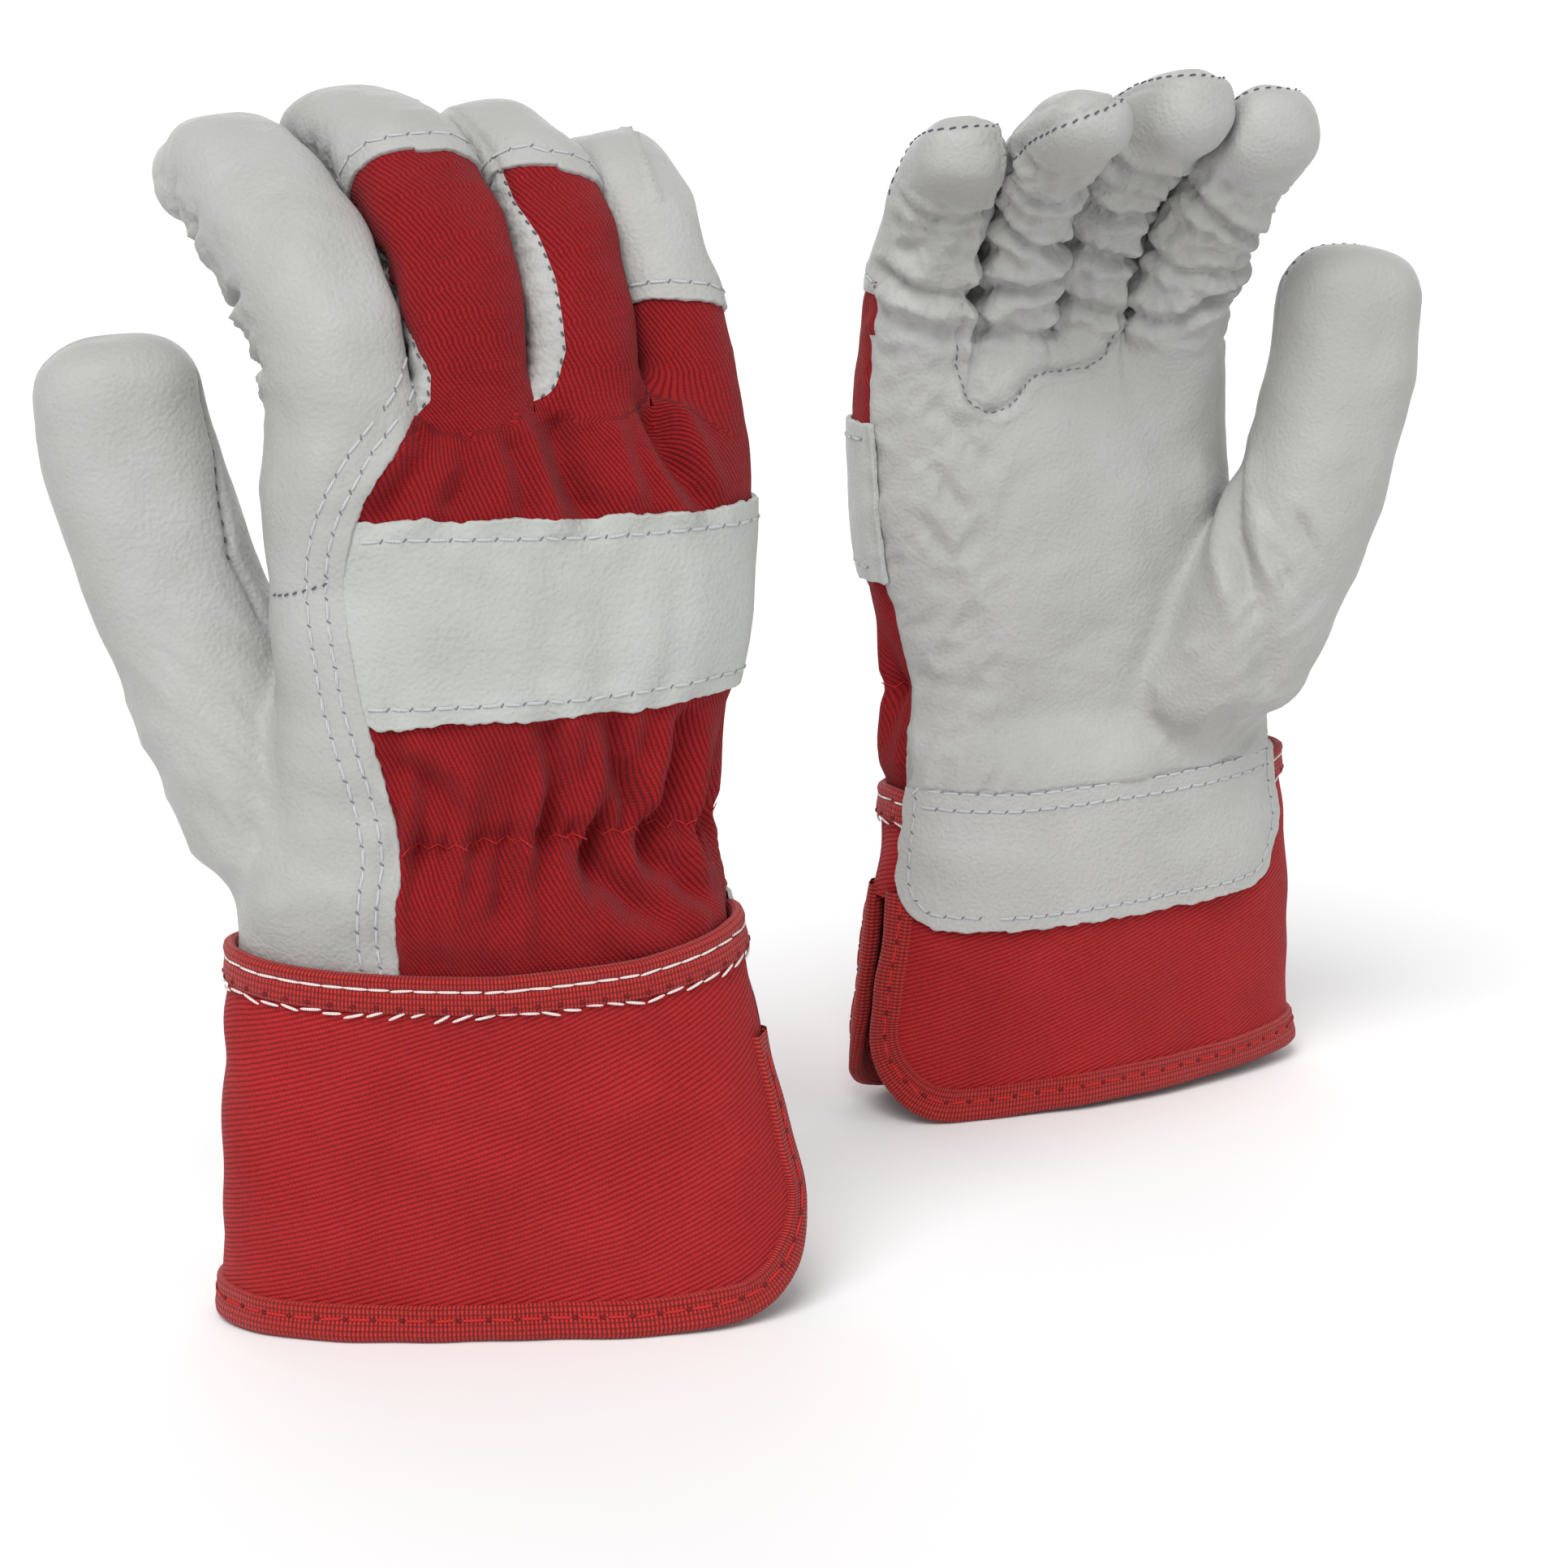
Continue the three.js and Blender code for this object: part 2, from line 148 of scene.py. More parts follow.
def smin(a, b, k):
    h = np.maximum(k - np.abs(a - b), 0) / k
    return np.minimum(a, b) - h * h * k / 4


def smax(a, b, k):
    return -smin(-a, -b, k)


def superellipse(a, b, w, h, p):
    """A point's size in a section of half sizes w and h, 1 on its outline, and its growth."""
    x, y = np.abs(a) / w, np.abs(b) / h
    r = np.maximum((x**p + y**p) ** (1 / p), 1e-3)
    return r, np.hypot((x / r) ** (p - 1) / w, (y / r) ** (p - 1) / h)


def capped(r, slope, cap, reach, p):
    """Signed distance, near the surface, to a section that closes over a rounded end."""
    g = np.maximum((r**p + cap**p) ** (1 / p), 1e-3)
    return (g - 1) / np.hypot((r / g) ** (p - 1) * slope, (cap / g) ** (p - 1) / reach)


class Digit:
    """A tube with a rounded, flattened end along a smooth spine."""

    def __init__(self, glove, name, rows):
        self.glove = glove
        rows = np.array(rows, float)
        ends = np.vstack([2 * rows[0] - rows[1], rows, 2 * rows[-1] - rows[-2]])
        steps = np.linspace(0, 1, 5)[:-1]
        line = []
        for a, b, c, d in zip(ends, ends[1:], ends[2:], ends[3:]):
            for t in steps:
                line.append(0.5 * (2 * b + (c - a) * t + (2 * a - 5 * b + 4 * c - d) * t**2
                                   + (3 * b - a - 3 * c + d) * t**3))
        line.append(rows[-1])
        line = np.array(line)
        self.name = name
        self.centre, self.width = line[:, :3], line[:, 3]
        self.length = np.r_[0, np.cumsum(np.linalg.norm(np.diff(self.centre, axis=0), axis=1))]
        tangent = np.gradient(self.centre, self.length, axis=0)
        self.tangent = tangent / np.linalg.norm(tangent, axis=1, keepdims=True)
        side = np.array([1.0, 0, 0]) - self.tangent * self.tangent[:, :1]
        self.side = side / np.linalg.norm(side, axis=1, keepdims=True)
        self.palmar = np.cross(self.tangent, self.side)
        share = self.length / self.length[-1]
        full, flat, start = (0.9, 0.78, 0.2) if name == "thumb" else (0.98, 0.8, 0.35)
        self.depth = self.width * lerp(full, flat, smooth(share, start, 1.0))
        self.total = self.length[-1]
        reach = self.width.max() + ROOT_LENGTH
        self.low, self.high = self.centre.min(0) - reach, self.centre.max(0) + reach

    def coords(self, p):
        """Each point's offset across and to the palm, its length along, and half sizes there."""
        best = np.full(len(p), 1e12)
        at = np.zeros(len(p))
        last = len(self.centre) - 2
        for i in range(last + 1):
            edge = self.centre[i + 1] - self.centre[i]
            d = p - self.centre[i]
            t = np.clip(d @ edge / (edge @ edge), 0, 1)
            r = d - t[:, None] * edge
            gap = np.einsum("ij,ij->i", r, r)
            near = gap < best
            best[near], at[near] = gap[near], i + t[near]
        i = np.minimum(at.astype(int), last)
        t = at - i
        pick = lambda table: lerp(table[i].T, table[i + 1].T, t).T
        d = p - pick(self.centre)
        a = np.einsum("ij,ij->i", d, pick(self.side))
        b = np.einsum("ij,ij->i", d, pick(self.palmar))
        beyond = (at <= 0) | (at >= last + 1)
        s = pick(self.length) + np.einsum("ij,ij->i", d, pick(self.tangent)) * beyond
        return a, b, s, pick(self.width), pick(self.depth)

    def distance(self, p):
        a, b, s, w, h = self.coords(p)
        end = TIP_LENGTH[self.name]
        cap = np.maximum(np.maximum(0, (s - self.total + end) / end), -s / ROOT_LENGTH)
        reach = np.where(s < 0, ROOT_LENGTH, end)
        return capped(*superellipse(a, b, w, h, DIGIT_POWER), cap, reach, DIGIT_END_POWER)


def hand_section(z):
    table = np.array(HAND, float)
    return [np.interp(z, table[:, 0], table[:, k]) for k in range(1, 5)]


def smooth_table(rows, passes=3):
    """A finer, smoothed copy of a table whose first column is the height."""
    rows = np.array(rows, float)
    z = np.arange(rows[0, 0], rows[-1, 0] + 0.5, 1.0)
    fine = np.stack([z] + [np.interp(z, rows[:, 0], rows[:, k]) for k in range(1, rows.shape[1])],
                    1)
    for _ in range(passes):
        for k in range(1, fine.shape[1]):
            padded = np.pad(fine[:, k], 4, mode="edge")
            fine[:, k] = np.convolve(padded, np.ones(9) / 9, "valid")
    return fine


HAND = smooth_table(HAND)


def hand_distance(p):
    u, v, z = p.T
    cu, cv, w, h = hand_section(z)
    cap = np.maximum(0, (z - HAND_TOP + HAND_END) / HAND_END)
    section = superellipse(u - cu, v - cv, w, h, HAND_POWER)
    return capped(*section, cap, HAND_END, HAND_END_POWER)


class Glove:
    """The whole skin of one glove as a field over points: negative inside."""

    def __init__(self, name):
        self.name = name
        self.digits = {k: Digit(name, k, rows) for k, rows in DIGITS[name].items()}

    def parts(self, p):
        """Distances to the hand and to each digit, with the fingers kept apart by a gap."""
        trim = np.interp(p[:, 2], *np.array(THUMB_SIDE_TRIM[self.name]).T)
        out = {"hand": hand_distance(p) + trim * smooth(-p[:, 0], 22, 36)}
        for k, d in self.digits.items():
            near = np.all((p > d.low) & (p < d.high), axis=1)
            f = np.full(len(p), 40.0)
            if near.any():
                f[near] = d.distance(p[near])
            out[k] = f
        raw = dict(out)
        for i, k in enumerate(FINGERS):
            for j in (i - 1, i + 1):
                if 0 <= j < len(FINGERS):
                    out[k] = smax(out[k], (raw[k] - raw[FINGERS[j]] + FINGER_GAP) / 2, GAP_ROUND)
        return out

    def field(self, p):
        part = self.parts(p)
        fingers = np.minimum.reduce([part[k] for k in FINGERS])
        return np.minimum(smin(part["hand"], fingers, FINGER_BLEND),
                          smin(part["hand"], part["thumb"], THUMB_BLEND))

    def finger_field(self, p, name):
        """The hand with one finger alone, so that two fingers that touch stay apart."""
        part = self.parts(p)
        return smin(part["hand"], part[name], FINGER_BLEND)


# ---- meshes with columns ----

# The tag of a vertex that was made by cutting a raw edge.
RAW = 5


class Mesh:
    """Triangles over vertices that carry columns, such as a base point and a normal."""

    def __init__(self, tri, cols):
        self.tri, self.cols = tri, cols

    def __getitem__(self, name):
        return self.cols[name]

    def kept(self, triangles):
        used, flat = np.unique(triangles, return_inverse=True)
        return Mesh(flat.reshape(-1, 3), {k: a[used] for k, a in self.cols.items()})

    def split(self, f, tag=0):
        """The part where f is positive, cut exactly along f = 0. The new vertices get the tag."""
        f = np.where(np.abs(f) < 1e-5, 1e-5, f)
        side = f > 0
        count = side[self.tri].sum(1)

        def led(t, want):
            first = (side[t] == want).argmax(1)
            return t[np.arange(len(t))[:, None], (first[:, None] + np.arange(3)) % 3]

        one, two = led(self.tri[count == 1], True), led(self.tri[count == 2], False)
        pairs = np.concatenate([one[:, [0, 1]], one[:, [0, 2]], two[:, [0, 1]], two[:, [0, 2]]])
        if not len(pairs):
            return self.kept(self.tri[count == 3])
        edges, back = np.unique(np.sort(pairs, 1), axis=0, return_inverse=True)
        a, b = edges.T
        t = f[a] / (f[a] - f[b])
        cols = {}
        for k, c in self.cols.items():
            new = lerp(c[a].T, c[b].T, t).T
            cols[k] = np.concatenate([c, new])
        cols["tag"][len(f):] = tag
        new = len(f) + back.reshape(-1)
        i, j, k, m = np.split(new, np.cumsum([len(one), len(one), len(two)]))
        parts = [self.tri[count == 3], np.stack([one[:, 0], i, j], 1),
                 np.stack([k, two[:, 1], two[:, 2]], 1), np.stack([k, two[:, 2], m], 1)]
        tri = np.concatenate(parts)
        return Mesh(tri, cols).kept(tri)

    def place(self, lift=0.0):
        """The vertices' points, raised by lift along the base normal."""
        return self["base"] + self["out"] * (self["relief"] + lift)[:, None]

    def contour(self, f, lift=0.0, where=None):
        """Lines along f = 0, each a pair of arrays of points and normals."""
        f = np.where(np.abs(f) < 1e-6, 1e-6, f)
        side = f > 0
        tri = self.tri if where is None else self.tri[where[self.tri].all(1)]
        count = side[tri].sum(1)
        crossing = tri[(count == 1) | (count == 2)]
        if not len(crossing):
            return []
        odd = np.where((side[crossing].sum(1) == 1)[:, None], side[crossing],
                       ~side[crossing]).argmax(1)
        rows = np.arange(len(crossing))
        lead, left, right = (crossing[rows, (odd + k) % 3] for k in range(3))
        pairs = np.sort(np.concatenate([np.stack([lead, left], 1), np.stack([lead, right], 1)]), 1)
        edges, back = np.unique(pairs, axis=0, return_inverse=True)
        back = back.reshape(-1)
        a, b = edges.T
        t = f[a] / (f[a] - f[b])
        points = self.place(lift)
        points = lerp(points[a].T, points[b].T, t).T
        normals = lerp(self["normal"][a].T, self["normal"][b].T, t).T
        near = [[] for _ in edges]
        for i, j in zip(back[: len(rows)], back[len(rows):]):
            near[i].append(j)
            near[j].append(i)
        seen = np.zeros(len(edges), bool)
        lines = []
        for start in sorted(range(len(edges)), key=lambda i: len(near[i]) != 1):
            if seen[start]:
                continue
            chain = [start]
            seen[start] = True
            while True:
                onward = [j for j in near[chain[-1]] if not seen[j]]
                if not onward:
                    break
                seen[onward[0]] = True
                chain.append(onward[0])
            if len(chain) > 3:
                lines.append((points[chain], normals[chain]))
        return lines


def vertex_normals(points, tri):
    a, b, c = points[tri[:, 0]], points[tri[:, 1]], points[tri[:, 2]]
    face = np.cross(b - a, c - a)
    out = np.zeros_like(points)
    for k in range(3):
        np.add.at(out, tri[:, k], face)
    return out / np.maximum(np.linalg.norm(out, axis=1, keepdims=True), 1e-9)


def surface_net(field, low, high, step, coarse=4, reach=7.0):
    """The zero surface of a field as a triangle mesh with about one vertex a grid cell."""
    shape = [int(math.ceil((h - l) / step / coarse)) * coarse for l, h in zip(low, high)]
    axes = [l + step * np.arange(n) for l, n in zip(low, shape)]
    middle = [a[::coarse] + step * (coarse - 1) / 2 for a in axes]
    blocks = np.stack(np.meshgrid(*middle, indexing="ij"), -1).reshape(-1, 3)
    rough = field(blocks).reshape([len(m) for m in middle])
    grid = rough.repeat(coarse, 0).repeat(coarse, 1).repeat(coarse, 2)
    close = np.abs(grid) < reach
    where = np.nonzero(close)
    points = np.stack([axes[k][where[k]] for k in range(3)], 1)
    grid[where] = field(points)
    inside = grid < 0
    cells = [n - 1 for n in shape]
    window = lambda g, c: g[c[0]:c[0] + cells[0], c[1]:c[1] + cells[1], c[2]:c[2] + cells[2]]
    corners = [(i, j, k) for i in (0, 1) for j in (0, 1) for k in (0, 1)]
    total = sum(window(inside, c).astype(np.int8) for c in corners)
    active = (total > 0) & (total < 8)
    where = np.nonzero(active)
    index = np.full(cells, -1)
    index[where] = np.arange(len(where[0]))
    values = {c: window(grid, c)[where] for c in corners}
    summed, number = np.zeros((len(where[0]), 3)), np.zeros(len(where[0]))
    for a in corners:
        for k in range(3):
            if a[k]:
                continue
            b = tuple(1 if m == k else a[m] for m in range(3))
            fa, fb = values[a], values[b]
            cross = (fa < 0) != (fb < 0)
            t = np.where(cross, fa / np.where(cross, fa - fb, 1), 0)
            at = np.tile(np.array(a, float), (len(t), 1))
            at[:, k] += t
            summed += at * cross[:, None]
            number += cross
    base = np.stack([axes[k][where[k]] for k in range(3)], 1) + step * summed / number[:, None]
    faces = []
    for k in range(3):
        i, j = [m for m in range(3) if m != k]
        if k == 1:
            i, j = j, i
        first = np.take(inside, range(shape[k] - 1), k)
        second = np.take(inside, range(1, shape[k]), k)
        at = np.stack(np.nonzero(first != second), 1)
        ok = np.all((at > 0) & (at < np.array(cells)), axis=1)
        at = at[ok]
        step_i, step_j = np.eye(3, dtype=int)[i], np.eye(3, dtype=int)[j]
        corners = (step_i + step_j, step_j, step_i * 0, step_i)
        quad = np.stack([index[tuple((at - x).T)] for x in corners], 1)
        flip = ~first[tuple(at.T)]
        quad[flip] = quad[flip][:, ::-1]
        faces.append(quad[(quad >= 0).all(1)])
    quad = np.concatenate(faces)
    tri = np.concatenate([quad[:, [0, 1, 2]], quad[:, [0, 2, 3]]])
    return base, tri


def settle(points, field, passes=2, eps=0.4):
    """Points moved onto the field's zero surface."""
    for _ in range(passes):
        value = field(points)
        grad = np.stack([(field(points + e) - field(points - e)) / (2 * eps)
                         for e in np.eye(3) * eps], 1)
        size = np.maximum((grad**2).sum(1), 0.2)
        points = points - grad * (value / size)[:, None]
    return points


def waves(p, scale, seed, count=9):
    """Smooth noise of about unit size whose lumps are about scale millimetres across."""
    rng = np.random.default_rng(seed)
    out = np.zeros(p.shape[:-1])
    for _ in range(count):
        d = rng.normal(size=3)
        d *= rng.uniform(0.6, 1.5) * math.pi / scale / np.linalg.norm(d)
        warp = 0.8 * np.sin(p @ rng.normal(size=3) * 0.5 * math.pi / scale + rng.uniform(0, 6))
        out += np.sin(p @ d + rng.uniform(0, 2 * math.pi) + warp)
    return out / math.sqrt(count / 2)


def line_distance(p, line):
    """Distance of each point to a polyline, and the share of its length where that is."""
    line = np.array(line, float)
    lengths = np.r_[0, np.cumsum(np.linalg.norm(np.diff(line, axis=0), axis=1))]
    best, share = np.full(len(p), 1e9), np.zeros(len(p))
    for a, b, l0, l1 in zip(line, line[1:], lengths, lengths[1:]):
        edge = b - a
        t = np.clip((p - a) @ edge / (edge @ edge), 0, 1)
        gap = np.linalg.norm(p - a - t[:, None] * edge, axis=1)
        near = gap < best
        best[near] = gap[near]
        share[near] = (lerp(l0, l1, t) / lengths[-1])[near]
    return best, share


def crease(p, line, width, depth):
    """A valley along a line with a soft lip on each side. A negative depth makes a ridge."""
    gap, share = line_distance(p, line)
    taper = np.clip(np.minimum(share, 1 - share) * 5, 0, 1)
    taper = 0.25 + 0.75 * taper * (2 - taper)
    x = gap / width
    lip = 0.35 * np.exp(-((x - 2.1) ** 2) / 0.9)
    return taper * depth * (lip - np.exp(-x * x))


# ---- seams: where each panel of a glove begins and ends ----

# The raw edge of the leather that comes round the index side onto the back: height, across.
RADIAL_EDGE = smooth_table([(56, -22), (74, -22), (86.5, -24), (97.5, -21.7), (109, -23.4),
                            (121.5, -26.9), (130, -28.6), (141, -30), (151, -30.5), (162.5, -28.5),
                            (170.5, -23.6), (180.5, -15), (187, -10.5), (194, -6)], 1)
ULNAR_ANGLE = 97.0
STRAP = {"bottom": 123.4, "top": 161.0}
WEB = 180.0
ELASTIC_Z = 99.0
# The two rows of stitches along the raw edge, as distances in from it.
ROW_INSETS = (2.8, 6.1)
# Where a digit's palm-side panel starts, as a share of its half depth:
# along its sides, and at its tip.
FRONT_SIDE = {"index": 0.2, "middle": 0.2, "ring": 0.2, "little": 0.2, "thumb": 0.0}
FRONT_TIP = {"near": {"index": 0.1, "middle": 0.1, "ring": 0.1, "little": 0.1, "thumb": 0.1},
             "far": {"index": -0.85, "middle": -0.85, "ring": -0.4, "little": -0.8, "thumb": -0.25}}
# How far that start climbs across the tip to the little-finger side.
FRONT_CLIMB = {"near": {}, "far": {"ring": 0.5}}
# The curved seam on the palm under the middle and ring fingers: across, height.
GUNN_SEAM = np.array([(-3, 184), (-2.4, 180), (-1.4, 176.5), (0.5, 173.3), (5, 171.4), (10, 171),
                      (15.5, 170.8), (18.5, 169.8), (20.6, 168), (23, 165), (25.2, 163.5),
                      (28, 162.6), (30.7, 162.8), (33.5, 164.3), (35.6, 167), (37, 171),
                      (37.8, 176), (38.2, 181)])

# Angle of the seam along the index finger's inner side.
INDEX_SEAM = 66
# On each finger: angles of the drill's two edges from the web to the cap, and the cap's raw edge
# as a share of the finger's length with its slope across the finger.
BACKS = {
    "middle": {"radial": [(0.28, -52), (0.31, -36), (0.35, -36), (0.42, -62), (0.47, -88),
                          (0.7, -94)],
               "ulnar": [(0.28, 98), (0.34, 78), (0.45, 66), (0.7, 62)],
               "cap": 0.662, "slope": -0.22},
    "ring": {"radial": [(0.3, -66), (0.34, -34), (0.4, -24), (0.5, -26), (0.58, -33), (0.66, -46)],
             "ulnar": [(0.28, 98), (0.34, 78), (0.45, 66), (0.7, 60)],
             "cap": 0.687, "slope": -0.35},
    "little": {"radial": [(0.34, -98), (0.4, -72), (0.6, -66)],
               "ulnar": [(0.2, 98), (0.4, 100), (0.56, 103)],
               "cap": 0.557, "slope": -0.25},
}


def arc_table(w, h, p):
    """Angles round a section and the distance along its outline from its back to each."""
    angle = np.radians(np.arange(-180, 181, 1.0))
    r = (np.abs(np.sin(angle) / w) ** p + np.abs(np.cos(angle) / h) ** p) ** (-1 / p)
    x, y = r * np.sin(angle), r * np.cos(angle)
    length = np.r_[0, np.cumsum(np.hypot(np.diff(x), np.diff(y)))]
    return np.degrees(angle), length - length[180]


HAND_ARC = arc_table(46, 19.5, HAND_POWER)


def around_hand(p):
    """Angle round the hand, 0 at the back and 90 on the little-finger side, and that in mm."""
    u, v, z = p.T
    cu, cv, w, h = hand_section(z)
    angle = np.degrees(np.arctan2(u - cu, cv - v))
    return angle, np.interp(angle, *HAND_ARC)


def around_digit(digit, p):
    a, b, s, w, h = digit.coords(p)
    angle = np.degrees(np.arctan2(a, -b))
    table = arc_table(digit.width.mean(), digit.depth.mean(), DIGIT_POWER)
    return a, b, s, h, angle, np.interp(angle, *table), table


def red_on_hand(p):
    """How far inside the drill panel of the back a point is: negative outside it."""
    angle, x = around_hand(p)
    u, z = p[:, 0], p[:, 2]
    edge = np.interp(z, RADIAL_EDGE[:, 0], RADIAL_EDGE[:, 1])
    slope = np.interp(z, RADIAL_EDGE[:, 0], np.gradient(RADIAL_EDGE[:, 1], RADIAL_EDGE[:, 0]))
    radial = (u - edge) / np.hypot(1, slope)
    wrapped = np.where(angle < -100, x + 400, x)
    ulnar = np.interp(ULNAR_ANGLE, *HAND_ARC) - wrapped
    return np.minimum(radial, ulnar), radial, ulnar


def around_gunn(p):
    """Height above the curved palm seam, square to it, and whether a point is beside it."""
    u, v, z = p.T
    height = np.interp(u, *GUNN_SEAM.T)
    slope = np.interp(u, GUNN_SEAM[:, 0], np.gradient(GUNN_SEAM[:, 1], GUNN_SEAM[:, 0]))
    beside = (v > 5) & (u > GUNN_SEAM[0, 0]) & (u < GUNN_SEAM[-1, 0])
    return (z - height) / np.hypot(1, slope), beside


class Finger:
    """Where the panels of one finger meet, for a set of points on it."""

    def __init__(self, name, digit, p):
        self.a, self.b, self.s, self.h, self.angle, self.x, table = around_digit(digit, p)
        share = self.s / digit.total
        self.share = share
        side, tip = FRONT_SIDE[name], FRONT_TIP[digit.glove][name]
        tip = tip + FRONT_CLIMB[digit.glove].get(name, 0.0) * self.a / digit.width.mean()
        self.front = self.b - lerp(side, tip, smooth(share, 0.6, 0.88)) * self.h
        if name in BACKS:
            rules = BACKS[name]
            radial = np.interp(share, *np.array(rules["radial"]).T)
            ulnar = np.interp(share, *np.array(rules["ulnar"]).T)
            self.radial = self.x - np.interp(radial, *table)
            self.ulnar = np.interp(ulnar, *table) - self.x
            self.red = np.minimum(self.radial, self.ulnar)
            self.cap = self.s - rules["cap"] * digit.total - rules["slope"] * self.a


# ---- folds ----

# Valleys (positive depth) and ridges in each glove's skin: width, depth, points.
FOLDS = {
    "near": [
        (3.0, 1.6, [(11, -12, 180), (12, -15, 171), (14, -18, 165), (17, -20, 160)]),
        (2.6, 1.8, [(31, -9, 180), (34, -14, 172), (38, -17, 165), (42, -17, 160)]),
        (2.6, 1.3, [(-13, -12, 179), (-14, -15, 173), (-19, -17, 167), (-25, -17, 162)]),
        (3.4, 1.0, [(-8, -12, 178), (-7, -16, 170), (-11, -19, 163)]),
        (2.4, -0.9, [(22, -13, 178), (24, -17, 168), (26, -19, 162)]),
        (2.2, 0.8, [(2, -14, 176), (4, -18, 168), (5, -20, 161)]),
        (2.2, 1.3, [(7, -20, 123), (8, -19, 115), (9, -18, 108), (7, -17, 101)]),
        (2.0, 1.2, [(20, -20, 123), (21, -18, 113), (24, -17, 106), (26, -16, 100)]),
        (2.6, 1.0, [(-22, -17, 116), (-14, -17, 110), (-10, -16, 104), (-9, -16, 99)]),
        (2.4, 1.1, [(36, -17, 122), (35, -15, 112), (33, -14, 105), (31, -14, 99)]),
        (3.2, 1.6, [(14, -17, 98), (18, -18, 91), (24, -18, 85), (31, -17, 80)]),
        (2.6, 1.0, [(-2, -17, 98), (-1, -18, 90), (-3, -19, 83)]),
        (3.0, 1.2, [(24, -16, 98), (30, -16, 92), (36, -15, 86), (42, -12, 82)]),
    ],
    "far": [
        # The thumb's root on the palm.
        (2.8, 2.6,
         [(-31, 20, 150), (-27, 24, 143), (-24.5, 29, 135), (-25, 34, 129), (-27, 38, 120)]),
        (3.0, 0.9, [(-27, 38, 120), (-30, 38, 108), (-33, 34, 96)]),
        (1.6, 0.9, [(-29, 30, 138), (-31, 38, 130), (-35, 42, 121)]),
        (1.5, 0.8, [(-34, 30, 146), (-37, 40, 137), (-41, 44, 127)]),
        # The palm side of each web, down to the curved seam.
        (1.6, 1.5, [(31.5, 16, 187), (32.5, 16, 178), (33.5, 16, 170), (33, 16, 166)]),
        (1.5, 1.3, [(11.5, 16, 187), (13, 16, 180), (14, 16, 174)]),
        (1.5, 1.2, [(-9, 16, 190), (-6, 16, 184), (-4, 15, 179)]),
        # The little-finger side of the palm.
        (1.8, 0.7, [(46, 10, 168), (38, 17, 160), (30, 20, 150)]),
        (1.6, 0.6, [(49, 8, 158), (42, 15, 150), (36, 18, 140)]),
        (1.6, 0.6, [(50, 6, 146), (44, 14, 138), (38, 18, 128)]),
    ],
}
# How strongly a glove's folds are pressed.
FOLD_STRENGTH = {"near": 2.9, "far": 1.4}

# The valleys across the palm side of each finger: share of length, depth.
JOINTS = {
    "near": {"index": [(0.38, 1.4), (0.55, 2.4), (0.66, 1.2), (0.8, 1.8)],
             "middle": [(0.4, 1.5), (0.58, 2), (0.8, 1.5)],
             "ring": [(0.4, 1.5), (0.58, 2), (0.8, 1.5)],
             "little": [(0.4, 1.2), (0.58, 1.6), (0.8, 1.4)]},
    "far": {"index": [(0.4, 1.8), (0.52, 2.8), (0.62, 1.4), (0.76, 2.2)],
            "middle": [(0.44, 1.8), (0.56, 2.6), (0.68, 2), (0.8, 1.4)],
            "ring": [(0.4, 2.4), (0.5, 2.6), (0.6, 2.2), (0.74, 1.4)],
            "little": [(0.36, 2.6), (0.46, 1.2), (0.56, 2), (0.78, 1)]},
}


def valley(x, width):
    return np.exp(-((x / width) ** 2))


